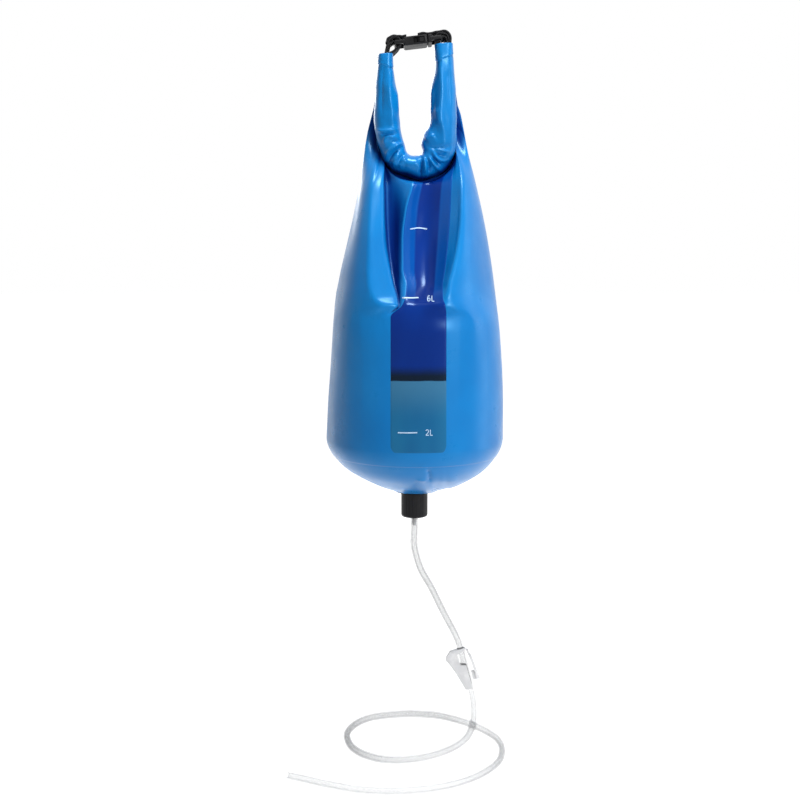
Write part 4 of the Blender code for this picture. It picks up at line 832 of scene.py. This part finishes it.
def key_rows():
    """The photograph's rows whose forms are known, with the points of each."""
    rows = []
    for py, text in FOLD_ROWS.items():
        front = np.array([seen(px, py, y * MM)[:2] for px, y in numbers(text)])
        rows.append((py, np.concatenate([front, back_half(py, front[0, 0], front[-1, 0])])))
    for py in SMOOTH_ROWS:
        left, right = (seen(np.interp(py, OUTLINE[:, 0], OUTLINE[:, k]), py, 0.0)[0] for k in (1, 2))
        rows.append((py, np.concatenate([smooth_front(py, left, right), back_half(py, left, right)])))
    return rows


def between_rows(rows, py):
    """The forms at any row, with a slope at each key row that never overshoots."""
    at = np.array([row[0] for row in rows], float)
    forms = np.array([row[1] for row in rows])
    slopes = np.diff(forms, axis=0) / np.diff(at)[:, None, None]
    above, below = slopes[:-1], slopes[1:]
    inner = np.where(above * below > 0, 2 * above * below / (above + below + TINY), 0)
    tangents = np.concatenate([slopes[:1], inner, slopes[-1:]])
    k = int(np.clip(np.searchsorted(at, py, side="right") - 1, 0, len(at) - 2))
    span = at[k + 1] - at[k]
    return hermite((py - at[k]) / span, forms[k], span * tangents[k], forms[k + 1], span * tangents[k + 1])


def section(forms):
    """Evenly spaced points round one row, with columns that keep to the window's edges."""
    line = catmull(forms, FORM_STEPS, closed=True)
    line = np.concatenate([line, line[:1]])
    marks = [0, LEFT_WINDOW * FORM_STEPS, RIGHT_WINDOW * FORM_STEPS, (FORMS - 1) * FORM_STEPS, len(line) - 1]
    counts = (COLUMNS_LEFT, COLUMNS_WINDOW, COLUMNS_RIGHT, COLUMNS_BACK)
    return np.concatenate([evenly(line[a : b + 1], n, False) for a, b, n in zip(marks, marks[1:], counts)])


def smooth_rows(points, share, passes):
    """Draws each inner row towards the mean of its neighbours, by a share for each row or point."""
    for _ in range(passes):
        points[1:-1] += 0.5 * share * ((points[:-2] + points[2:]) / 2 - points[1:-1])


# The shoulders under the folds are smoothed between these rows, but not between these columns
SHOULDER_TOP = (290, 306)
SHOULDER_END = (336, 360)
FOLDED_LEFT = (60, 76)
FOLDED_RIGHT = (177, 193)
SHOULDER_PASSES = 90
# Rows of the photograph between the grid's rows down to here. From here on fewer move to end level at the widest
# circle.
ROW_STEP = 1.5
SETTLE_ROW = 330
SETTLE_STEPS = 22


def body_rows():
    """Points of the bag from just under the roll to its widest circle."""
    rows = key_rows()
    at = np.concatenate([np.arange(TOP_ROW, SETTLE_ROW, ROW_STEP), np.linspace(SETTLE_ROW, EQUATOR_ROW, SETTLE_STEPS)])
    points = []
    for py in at:
        flat = section(between_rows(rows, py))
        height = row_height(py) + row_slope(py) * np.minimum(flat[:, 1], 0.0)
        points.append(np.column_stack([flat, height]))
    points = np.array(points)
    near = plateau(SHOULDER_TOP, SHOULDER_END, at)
    plain = 1 - plateau(FOLDED_LEFT, FOLDED_RIGHT, np.arange(ALL_COLUMNS))
    smooth_rows(points, (near[:, None] * plain[None, :])[1:-1, :, None], SHOULDER_PASSES)
    shift = points[-1, :, 2] - EQUATOR_Z
    points[:, :, 2] -= smoothstep(SETTLE_ROW, EQUATOR_ROW, at)[:, None] * shift[None, :]
    return points


# How far inside the roll's ends the wall begins, as a share, how far outside the roll's surface, and the share of
# the roll at each end where its front and back come together
TOP_INSET = 0.012
TOP_LIFT = 0.0016
TOP_CLOSING = 0.04


def top_line():
    """Where each column leaves the roll, just outside it and short of its two ends."""
    front = np.arange(FRONT_COLUMNS) / FRONT_COLUMNS
    back = 1 - np.arange(COLUMNS_BACK) / COLUMNS_BACK
    share = np.concatenate([front, back])
    edge = smoothstep(0.0, TOP_CLOSING, np.minimum(share, 1 - share))
    front, back = (between(turns, low_share(share)) for turns in (WALL_TURN_FRONT, WALL_TURN_BACK))
    turn = np.where(np.arange(ALL_COLUMNS) < FRONT_COLUMNS, front, back) * edge + (front + back) / 2 * (1 - edge)
    return roll_surface(TOP_INSET + (1 - 2 * TOP_INSET) * share, np.radians(turn), 1.0, TOP_LIFT)


NECK_ROWS = 26
# Rows round the join of neck and body between which it is smoothed
JOIN_FROM = (NECK_ROWS - 8, NECK_ROWS - 2)
JOIN_TO = (NECK_ROWS + 1, NECK_ROWS + 7)
JOIN_PASSES = 16
# Outline of the neck where it comes out from behind the roll: row, left and right column
NECK_OUTLINE = numbers(
    "50,384,446 80,379.5,451 100,377,454.5 111,373.8,458.6 128,368.9,462.3 142,366.1,465.2 159,363.3,468.9 "
    "173,360.9,473.4 185,359,476.8"
)
# How far along the wall, in columns, the outline pulls the neck with it
NECK_PULL = 26.0


def pull_neck(rows):
    """Moves the two edges of the neck onto the photograph's outline."""
    px, py = project(rows)
    columns = np.arange(rows.shape[1])
    share = smoothstep(0.0, 3.0, np.arange(len(rows)))
    for j, edge in ((0, 1), (FRONT_COLUMNS, 2)):
        wanted = np.interp(py[:, j], NECK_OUTLINE[:, 0], NECK_OUTLINE[:, edge])
        move = (wanted - px[:, j]) * MM_PER_PX * MM * share
        away = np.abs(columns - j)
        away = np.minimum(away, rows.shape[1] - away)
        rows[:, :, 0] += move[:, None] * np.exp(-((away / NECK_PULL) ** 2))[None, :]
    return rows


# The neck hangs straight under the roll at first and comes forward late
NECK_LATE = (0.20, 0.97)
# Share of the roll's length, from its ends, over which the neck's sides turn into its middle
NECK_SIDES = (0.12, 0.34)


def neck_rows(below):
    """Points between the roll and the first full row, which start straight down."""
    top = top_line()
    first = below[0]
    reach = np.linalg.norm(first - top, axis=1)[:, None]
    leaving = np.array((0.0, 0.0, -1.0)) * reach
    arriving = unit(below[1] - below[0]) * reach
    share = np.arange(FRONT_COLUMNS) / FRONT_COLUMNS
    middle = smoothstep(*NECK_SIDES, np.minimum(share, 1 - share))
    sides = np.concatenate([1 - middle, np.ones(COLUMNS_BACK)])
    rows = []
    for t in np.linspace(0.0, 1.0, NECK_ROWS, endpoint=False):
        row = hermite(t, top, leaving, first, arriving)
        forward = 1 - sides * (1 - smoothstep(*NECK_LATE, t))
        row[:, 1] = top[:, 1] + (row[:, 1] - top[:, 1]) * forward
        rows.append(row)
    return pull_neck(np.array(rows))


# The base's shape: how much narrower and shallower than its ellipse it is, at the right and at the left
DOME_NARROW = (0.026, 0.032)
DOME_SHALLOW = (0.05, 0.125)
# Degrees below the widest circle between which the narrowing comes and goes
NARROW_FROM = (0, 26)
NARROW_TO = (45, 72)


def dome(turn, angle, inset=0.0):
    """Points of the base, by turn round the axis from the right and angle below the widest circle."""
    left = (0.5 - 0.5 * np.cos(turn)) ** 0.8
    pull = between(DOME_NARROW, left) * plateau(np.radians(NARROW_FROM), np.radians(NARROW_TO), angle)
    radius = (BAG_RADIUS - inset) * (np.cos(angle) - pull)
    drop = (DOME_DEPTH - inset) * np.sin(angle) * (1 - between(DOME_SHALLOW, left) * np.sin(2 * angle))
    return np.stack([BAG_AXIS_X + radius * np.cos(turn), radius * np.sin(turn), EQUATOR_Z - drop], -1)


# How far the hem goes on past the seam, in radians of the base's arc, and how far it turns in
HEM_PAST = 0.006
HEM_INSET = 0.0006


def seam_rows(equator):
    """Points from the widest circle to the base seam, on the base, with the hem turned in at its end."""
    turn = np.arctan2(equator[:, 1], equator[:, 0] - BAG_AXIS_X)
    seam = math.asin(SEAM_DROP / DOME_DEPTH)
    rows = [dome(turn, angle) for angle in np.linspace(0.0, seam, 12)[1:]]
    rows.append(dome(turn, seam + HEM_PAST, HEM_INSET))
    return np.array(rows)


def make_bag():
    """The wall's points, with the join of neck and body smoothed."""
    body = body_rows()
    points = np.concatenate([neck_rows(body), body, seam_rows(body[-1])])
    near = plateau(JOIN_FROM, JOIN_TO, np.arange(len(points)))
    smooth_rows(points, near[1:-1, None, None], JOIN_PASSES)
    return points


def grid_normals(points):
    """Outward normals of a grid that closes round its columns."""
    across = np.roll(points, -1, 1) - np.roll(points, 1, 1)
    normals = unit(np.cross(np.gradient(points, axis=0), across))
    outward = (normals[-1, :, :2] * (points[-1, :, :2] - (BAG_AXIS_X, 0.0))).sum()
    return normals if outward > 0 else -normals


BAG_POINTS = make_bag()
BAG_NORMALS = grid_normals(BAG_POINTS)

WINDOW_FIRST = COLUMNS_LEFT
WINDOW_LAST = COLUMNS_LEFT + COLUMNS_WINDOW
WINDOW_MIDDLE = (WINDOW_FIRST + WINDOW_LAST) // 2
# Columns beside the window where a place is still looked for
WINDOW_MARGIN = 6


def on_bag(column, row, lift=0.0):
    """Points of the bag's surface at fractional grid places, lifted along the normal."""
    column, row, lift = np.broadcast_arrays(*(np.asarray(v, float) for v in (column, row, lift)))
    row = np.clip(row, 0, len(BAG_POINTS) - 1.001)
    i = np.floor(row).astype(int)
    j = np.floor(column).astype(int)
    down = (row - i)[..., None]
    right = (column - j)[..., None]

    def read(grid):
        sides = [grid[i, k % ALL_COLUMNS] * (1 - down) + grid[i + 1, k % ALL_COLUMNS] * down for k in (j, j + 1)]
        return sides[0] * (1 - right) + sides[1] * right

    return read(BAG_POINTS) + read(BAG_NORMALS) * lift[..., None]


def row_of(py, column):
    """The grid row that shows at a row of the photograph, along one column."""
    rows = project(BAG_POINTS[NECK_ROWS:, column % ALL_COLUMNS])[1]
    return NECK_ROWS + float(np.interp(py, rows, np.arange(len(rows))))


def column_of(px, row):
    """The grid column inside the window that shows at a column of the photograph."""
    columns = np.arange(WINDOW_FIRST - WINDOW_MARGIN, WINDOW_LAST + WINDOW_MARGIN + 1)
    line = project(on_bag(columns, row))[0]
    near = np.clip(np.argmin(np.abs(line - px)), 1, len(columns) - 2)
    piece = slice(near - 1, near + 2)
    order = np.argsort(line[piece])
    return float(np.interp(px, line[piece][order], columns[piece][order]))


def make_wall():
    wall = grid_object("bag_wall_fabric", BAG_POINTS, FABRIC_BLUE, closed_u=True)
    solidify(wall)
    dress(wall, "bag_wall")


make_wall()

# The gauge window

WINDOW_TOP_STEPS = 15
WINDOW_BOTTOM_PX = 454.0
WINDOW_WIDTH_MM = 69.0
WINDOW_CORNER_MM = 8.5
# How far the film stands over the fabric, how far its rim is sunk, and over what width, in millimetres
FILM_RISE_MM = 0.6
RIM_SINK_MM = 0.3
RIM_WIDTH_MM = 1.6
# Column and row of the photograph, and depth, of the place where the folds meet and of the water's surface
FOLD_MOUTH_PLACE = (418, 303, -0.092)
WATER_PLACE = (418, 379.5, -0.098)
FOLD_MOUTH_Z = float(seen(*FOLD_MOUTH_PLACE)[2])
WATER_Z = float(seen(*WATER_PLACE)[2])
# Heights between which the air's sides turn pale with painted light over the folds' meeting, the surface's dark line of
# painted shade ends over the water and the water turns pale with painted light under its surface
SIDES_FADE = (FOLD_MOUTH_Z - 0.004, FOLD_MOUTH_Z + 0.022)
LINE_FADE = (WATER_Z + 0.004, WATER_Z + 0.017)
LINE_START = (WATER_Z - 0.0006, WATER_Z + 0.0006)
WATER_FADE = (WATER_Z - 0.045, WATER_Z - 0.002)
# Colours painted on the film for the view through it: the bag's inside in painted shade over the air, with painted
# light beside the folds; the water; painted light at the water's edges and top; and the surface's dark line in painted
# shade
SHADED_INSIDE_TONES = (linear(0, 36, 118), linear(0, 46, 134))
LIT_INSIDE_SIDES = linear(6, 78, 160)
WATER_TONES = (linear(15, 81, 129), linear(25, 100, 146))
WATER_LIT_EDGE = linear(34, 116, 158)
WATER_LIT_TOP = linear(56, 112, 148)
WATER_LINE = linear(2, 8, 24)
FILM_SHINE = (0.30, 0.60, 1.0)


def film_material():
    """Film painted with the view through it: the bag's inside as navy air in painted shade with painted light on its
    sides, a dark band of painted shade at the surface, and grey-blue water below with painted light at its top and
    edges.
    """
    s = Shader("gauge window", Roughness=0.22, Coat_Weight=0.06, Coat_Roughness=0.16, Specular_IOR_Level=0.24)
    place = s.place()
    z = s.separate(place)[2]
    ripple = s.noise(s.stretched(place, (1.0, 0.0, 0.0)), 38.0, 1.0)
    level = s.math("ADD", z, s.math("MULTIPLY", ripple, 0.0035))
    slow = s.noise(s.stretched(place, (1.0, 1.0, 0.35)), 22.0)
    side = s.math("ABSOLUTE", s.math("SUBTRACT", s.separate(s.place("UV"))[0], 0.5))
    # Painted light: the inside's inclined sides over the folds show paler than its shaded middle
    beside = s.math("MULTIPLY", s.ramp(side, 0.20, 0.26), s.ramp(z, *SIDES_FADE))
    air = s.mix(beside, s.mix(s.ramp(slow, 0.35, 0.7), *SHADED_INSIDE_TONES), LIT_INSIDE_SIDES)
    deep = s.mix(s.ramp(slow, 0.3, 0.7), *WATER_TONES)
    # Painted light at the water's edges and under its surface, then the painted dark line of shade at the surface
    deep = s.mix(s.math("MULTIPLY", s.ramp(side, 0.15, 0.5), 0.5), deep, WATER_LIT_EDGE)
    water = s.mix(s.ramp(z, *WATER_FADE), deep, WATER_LIT_TOP)
    water = s.mix(s.ramp(level, *LINE_START), water, WATER_LINE)
    s.set(
        Base_Color=s.mix(s.ramp(level, *LINE_FADE), water, air),
        Normal=s.bump(s.noise(place, 30.0, 3.0), 0.06, 0.001),
        Specular_Tint=FILM_SHINE,
    )
    return s.material


def make_window():
    """The gauge film, welded over the wall with round lower corners and a sunk rim."""
    rows = np.linspace(WINDOW_TOP_STEPS, row_of(WINDOW_BOTTOM_PX, WINDOW_MIDDLE), 300)
    line = on_bag(np.full(len(rows), WINDOW_MIDDLE), rows)
    left_mm = length_along(line[::-1])[::-1, None] / MM
    inside = np.clip(WINDOW_CORNER_MM - left_mm, 0.0, WINDOW_CORNER_MM)
    cut = (WINDOW_CORNER_MM - np.sqrt(np.maximum(WINDOW_CORNER_MM**2 - inside**2, 0.0))) / WINDOW_WIDTH_MM
    u = np.linspace(0.0, 1.0, 61)[None, :]
    share = cut + (1 - 2 * cut) * u
    rim = np.minimum(np.minimum(u, 1 - u) * WINDOW_WIDTH_MM, left_mm)
    lift = FILM_RISE_MM * MM * smoothstep(0.0, RIM_WIDTH_MM, rim) - RIM_SINK_MM * MM
    points = on_bag(WINDOW_FIRST + share * COLUMNS_WINDOW, rows[:, None], lift)
    uv = np.stack(np.broadcast_arrays(share, left_mm / 300), -1)
    dress(grid_object("window_film", points, film_material(), uv=uv), "window_panel")


make_window()

# The scale's white print

# Its lines: (left column, right column, row of the photograph, bow in pixels)
MARK_LINES = ((409.9, 427.0, 229.2, -1.2), (402.7, 418.6, 298.0, 0.2), (397.9, 417.2, 432.6, 0.2))
# Its numerals: (character, left column, top row)
NUMERALS = (("6", 427.4, 296.0), ("2", 425.7, 429.6))
NUMERAL_HEIGHT_PX = 5.6
NUMERAL_WIDTH_PX = 3.1
LETTER_GAP_PX = 1.2
LINE_WIDTH_PX = 1.15
STROKE_WIDTH_PX = 0.75
PRINT_LIFT = 0.00055
# Strokes of the characters in a box of width and height 1, from the top left
STROKES = {
    "2": (((0.05, 0.22), (0.2, 0.04), (0.6, 0.0), (0.92, 0.2), (0.85, 0.45), (0.35, 0.78), (0.02, 1.0), (0.98, 1.0)),),
    "6": (
        ((0.85, 0.08), (0.5, 0.0), (0.15, 0.25), (0.02, 0.65), (0.2, 0.95), (0.6, 1.0))
        + ((0.95, 0.8), (0.85, 0.5), (0.5, 0.4), (0.12, 0.6)),
    ),
    "L": (((0.1, 0.0), (0.1, 1.0), (0.85, 1.0)),),
}


def print_material():
    s = Shader("white print", Roughness=0.35)
    wear = s.ramp(s.noise(s.place(), 900.0, 3.0, 0.7), 0.35, 0.75)
    s.set(Base_Color=s.mix(wear, linear(205, 228, 250), linear(150, 190, 232)))
    return s.material


def ribbon(points, width):
    """A flat band of print along points (px, py), laid on the bag."""
    path = catmull(points, 5) if len(points) > 2 else np.linspace(*points, 9)
    forward = directions(path)
    side = np.stack([-forward[:, 1], forward[:, 0]], -1) * width / 2
    bands = []
    for edge in (path + side, path - side):
        places = []
        for px, py in edge:
            row = row_of(py, WINDOW_MIDDLE)
            for _ in range(2):
                column = column_of(px, row)
                row = row_of(py, round(column))
            places.append((column, row))
        bands.append(on_bag(*np.array(places).T, PRINT_LIFT))
    return np.array(bands)


def make_marks():
    bands = []
    for left, right, row, bow in MARK_LINES:
        bands.append(ribbon([(left, row), ((left + right) / 2, row + bow), (right, row)], LINE_WIDTH_PX))
    for digit, left, top in NUMERALS:
        for character, start in ((digit, left), ("L", left + NUMERAL_WIDTH_PX + LETTER_GAP_PX)):
            for stroke in STROKES[character]:
                points = [(start + x * NUMERAL_WIDTH_PX, top + y * NUMERAL_HEIGHT_PX) for x, y in stroke]
                bands.extend(ribbon([a, b], STROKE_WIDTH_PX) for a, b in zip(points, points[1:]))
    points = []
    faces = []
    for band in bands:
        first = len(points)
        count = band.shape[1]
        points.extend(band.reshape(-1, 3).tolist())
        faces.extend((k, k + 1, k + count + 1, k + count) for k in range(first, first + count - 1))
    mesh = bpy.data.meshes.new("scale_print")
    mesh.from_pydata(points, [], faces)
    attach(new_object("scale_print", mesh, print_material()), "bag")


make_marks()

# The back's tape

# Where it lies among the back columns, and half its width in columns
TAPE_PLACE = 0.53
TAPE_HALF = 4.2
# Its height over the fabric, how far its edges sink, from which share of its half width, and its waves
TAPE_RISE = 0.0007
TAPE_SINK = 0.0001
TAPE_EDGE = 0.82
TAPE_WAVE = 0.00008


def make_seam_tape():
    """The welded tape over the back lap, from under the roll to the base seam."""
    middle = FRONT_COLUMNS + COLUMNS_BACK * TAPE_PLACE
    u = np.linspace(-1.0, 1.0, 17)[None, :]
    rows = np.linspace(WINDOW_TOP_STEPS, len(BAG_POINTS) - 1.01, 220)[:, None]
    rise = TAPE_RISE * (1 - smoothstep(TAPE_EDGE, 1.0, np.abs(u)))
    lift = rise - TAPE_SINK + TAPE_WAVE * np.sin(rows * 0.9)
    tape = grid_object("back_seam_weld", on_bag(middle + u * TAPE_HALF, rows, lift), FABRIC_BLUE)
    dress(tape, "back_seam_tape")


make_seam_tape()

# The base

# Puckers of the base beside the outlet, as the roll's folds
BASE_FOLDS = (
    (-1.6, 2.2, "427.5,468 429.2,474 429.8,483"),
    (0.9, 2.4, "416,479.5 422,480 426.5,480.6"),
    (-1.5, 11.0, "431,490 441,487 452,486"),
    (0.8, 6.0, "437,480 447,481 460,479"),
)
BASE_STEPS = 320
BASE_ROWS = 110
BASE_INSET = 0.001
# How far the base goes up behind the wall's seam, in radians of its arc
BASE_LAP = 0.10
FLAT_RADIUS = 0.0235
HOLE_RADIUS = 0.0128
# The puckers fade out over this rim round the hole, and towards the back over these depths
PUCKER_RADII = (HOLE_RADIUS + 0.004, 0.035)
PUCKER_DEPTHS = (-0.030, 0.010)


def make_base():
    """The domed base under the wall, down to the flat round the outlet."""
    turns = 2 * np.pi * np.arange(BASE_STEPS) / BASE_STEPS
    lap = math.asin(SEAM_DROP / DOME_DEPTH) - BASE_LAP
    last = math.acos(FLAT_RADIUS / BAG_RADIUS)
    rows = [dome(turns, np.full(BASE_STEPS, angle), BASE_INSET) for angle in np.linspace(lap, last, BASE_ROWS)]
    rows[-1][:, 2] = rows[-1][:, 2].mean()
    x = BAG_AXIS_X + HOLE_RADIUS * np.cos(turns)
    rows.append(np.stack([x, HOLE_RADIUS * np.sin(turns), rows[-1][:, 2]], -1))
    points = np.array(rows)
    outside = smoothstep(*PUCKER_RADII, np.hypot(points[..., 0] - BAG_AXIS_X, points[..., 1]))
    front = smoothstep(*PUCKER_DEPTHS, -points[..., 1]) * outside
    outward = unit(points - (BAG_AXIS_X, 0.0, EQUATOR_Z))
    points += outward * (fold_lift(points, BASE_FOLDS) * front)[..., None]
    base = grid_object("bag_base_fabric", points[:, ::-1], FABRIC_BLUE, closed_u=True)
    solidify(base)
    dress(base, "bag_base")


make_base()

# Webbing

STRAP_WIDTH = 0.020
STRAP_THICKNESS = 0.0021
STRAP_SLACK = 0.0003
STRAP_TWIST = 0.0006
# Middle lines of the straps in millimetres across and up, from inside the roll round the buckle's bar and back
STRAP_LINES = {
    "left": (
        "-34.2,-22 -34.0,-12 -33.0,-5.5 -31.2,0.5 -29.2,5.0 -25.6,7.8 -21.6,8.0 -19.0,6.3 -18.1,3.4 -18.3,0.2 "
        "-20.1,-2.4 -22.8,-4.7 -25.6,-7.0 -28.9,-8.6 -31.2,-12 -31.7,-22",
        "-31.9,1.5 -30.2,6.4 -26.0,9.6 -20.5,9.9 -15.5,9.0 -11.0,9.0",
        "-33.2,-13 -32.2,-5.5 -30.2,-0.2 -27.4,3.0 -24.6,4.2",
    ),
    "right": (
        "28.9,-16 28.5,-6 26.4,0.2 22.8,2.7 20.7,5.6 20.7,9.2 22.8,11.7 26.8,12.1 31.0,11.8 33.8,9.2 35.0,4.6 "
        "34.6,0.6 32.6,-5 31.9,-16",
        "1.5,10.8 5.5,12.1 12.0,12.6 19.0,13.4 26.0,14.0 31.2,13.9 34.6,11.6 36.2,6.4 36.3,2.4",
        "21.8,4.0 25.0,6.4 29.0,8.4 31.6,6.0 32.2,1.0 30.4,-5 29.9,-14",
    ),
}


def strap_surface(line, seed):
    """Rings of a flat strap with rolled edges, slack across its middle."""
    line = evenly(catmull([(x, 0.0, z) for x, z in line * MM], 12), 120)
    normal = np.cross(directions(line), (0.0, 1.0, 0.0))
    half = STRAP_THICKNESS / 2
    across = np.sin(np.linspace(-math.pi / 2, math.pi / 2, 22))
    rim = half * (1 - 0.35 * (np.abs(across) > 0.93) + 0.25 * (np.abs(np.abs(across) - 0.86) < 0.08))
    side = np.concatenate([across, across[::-1]])[None, :]
    share = np.linspace(0.0, 1.0, len(line))[:, None]
    slack = STRAP_SLACK * np.sin(share * 19.0 + seed) * np.cos(side * 2.3 + 2.0 * np.sin(share * 7.0 + seed))
    twist = STRAP_TWIST * np.sin(share * 8.0 + 2.0 * seed) * side
    off = np.concatenate([rim, -rim[::-1]])[None, :] + slack + twist
    points = line[:, None, :] + normal[:, None, :] * off[..., None]
    points[..., 1] = side * STRAP_WIDTH / 2 * (1 - 0.03 * np.sin(share * 23.0 + seed) ** 2)
    return points, np.stack(np.broadcast_arrays(side / 2 + 0.5, share * 0.11), -1)


def make_strap(side):
    """A strap of several layers in one piece."""
    layers = []
    for index, text in enumerate(STRAP_LINES[side]):
        points, uv = strap_surface(numbers(text), index * 1.7 + (side == "right"))
        layers.append(grid_object(f"webbing_{side}_strap", points, WEBBING, closed_u=True, uv=uv))
    strap = layers[0]
    joined = bmesh.new()
    for piece in layers:
        joined.from_mesh(piece.data)
    joined.to_mesh(strap.data)
    joined.free()
    for piece in layers[1:]:
        bpy.data.objects.remove(piece)
    dress(strap, f"webbing_{side}")


for side in STRAP_LINES:
    make_strap(side)

for material, names in PLAIN_MATERIALS:
    for name in names.split():
        NODES[name].material_slots[0].material = material

# Studio

# Area lights: name, place, what each points at, width and height, and power in watts
LAMPS = (
    ("left_strip", (-0.95, 0.85, -0.05), (0.0, 0.0, -0.3), (0.30, 1.7), 0.9),
    ("right_strip", (1.25, 0.10, 0.0), (0.0, 0.0, -0.3), (0.40, 1.7), 3.6),
    ("key", (0.20, -0.32, 1.28), (0.0, 0.0, -0.25), (0.42, 0.42), 22.0),
    ("front", (1.05, -1.25, 0.10), (0.0, 0.0, -0.30), (0.70, 1.30), 7.0),
    ("streak", (0.62, -1.12, 0.14), (0.0, 0.0, -0.05), (0.12, 0.27), 8.0),
    ("back", (-0.45, 1.35, 0.40), (0.0, 0.0, -0.30), (0.80, 0.80), 9.0),
)
# How strongly the white world lights the object
WORLD_FILL = 0.14
FLOOR_REACH = 30.0


def place_in_scene(name, data, place, rotation):
    obj = bpy.data.objects.new(name, data)
    obj.location = place
    obj.rotation_euler = rotation
    bpy.context.scene.collection.objects.link(obj)
    return obj


def area_light(name, place, target, size, power):
    lamp = bpy.data.lights.new(name, "AREA")
    lamp.shape = "RECTANGLE"
    lamp.size, lamp.size_y = size
    lamp.energy = power
    place_in_scene(name, lamp, place, (Vector(target) - Vector(place)).to_track_quat("-Z", "Y").to_euler())


def shown_rays(tree):
    """1 for the rays that see the studio as white: from the camera, and through gloss or clear plastic."""
    path = tree.nodes.new("ShaderNodeLightPath")
    shown = path.outputs["Is Camera Ray"]
    for ray in ("Is Glossy Ray", "Is Transmission Ray"):
        either = tree.nodes.new("ShaderNodeMath")
        either.operation = "MAXIMUM"
        tree.links.new(shown, either.inputs[0])
        tree.links.new(path.outputs[ray], either.inputs[1])
        shown = either.outputs[0]
    return shown


def make_studio():
    """White surroundings, the lamps and the photograph's camera."""
    scene = bpy.context.scene
    scene.view_settings.view_transform = "Standard"
    scene.world = bpy.data.worlds.new("studio")
    scene.world.use_nodes = True
    tree = scene.world.node_tree
    background = tree.nodes["Background"]
    background.inputs["Color"].default_value = (1.0, 1.0, 1.0, 1.0)
    strength = tree.nodes.new("ShaderNodeMapRange")
    tree.links.new(shown_rays(tree), strength.inputs["Value"])
    strength.inputs["To Min"].default_value = WORLD_FILL
    tree.links.new(strength.outputs[0], background.inputs["Strength"])
    for lamp in LAMPS:
        area_light(*lamp)
    camera = bpy.data.cameras.new("camera")
    camera.sensor_width = SENSOR
    camera.lens = FOCAL_PX / FRAME_PX * SENSOR
    scene.camera = place_in_scene("camera", camera, CAMERA, (math.pi / 2 - CAMERA_PITCH, 0.0, 0.0))


def make_floor():
    """A pale floor that the camera sees as white outside the object's shadow."""
    s = Shader("studio floor", Roughness=0.9, Specular_IOR_Level=0.05, Emission_Color=(1.0, 1.0, 1.0))
    s.set(
        Base_Color=s.mix(s.noise(s.place(), 4.0), (0.88, 0.88, 0.88), (0.90, 0.90, 0.90)),
        Emission_Strength=s.math("MULTIPLY", shown_rays(s.tree), FLOOR_LIFT),
    )
    mesh = bpy.data.meshes.new("studio_floor")
    corners = [(x, y, FLOOR_Z) for x, y in ((-1, -1), (1, -1), (1, 1), (-1, 1))]
    mesh.from_pydata([(x * FLOOR_REACH, y * FLOOR_REACH, z) for x, y, z in corners], [], [(0, 1, 2, 3)])
    new_object("studio_floor", mesh, s.material)


make_studio()
make_floor()
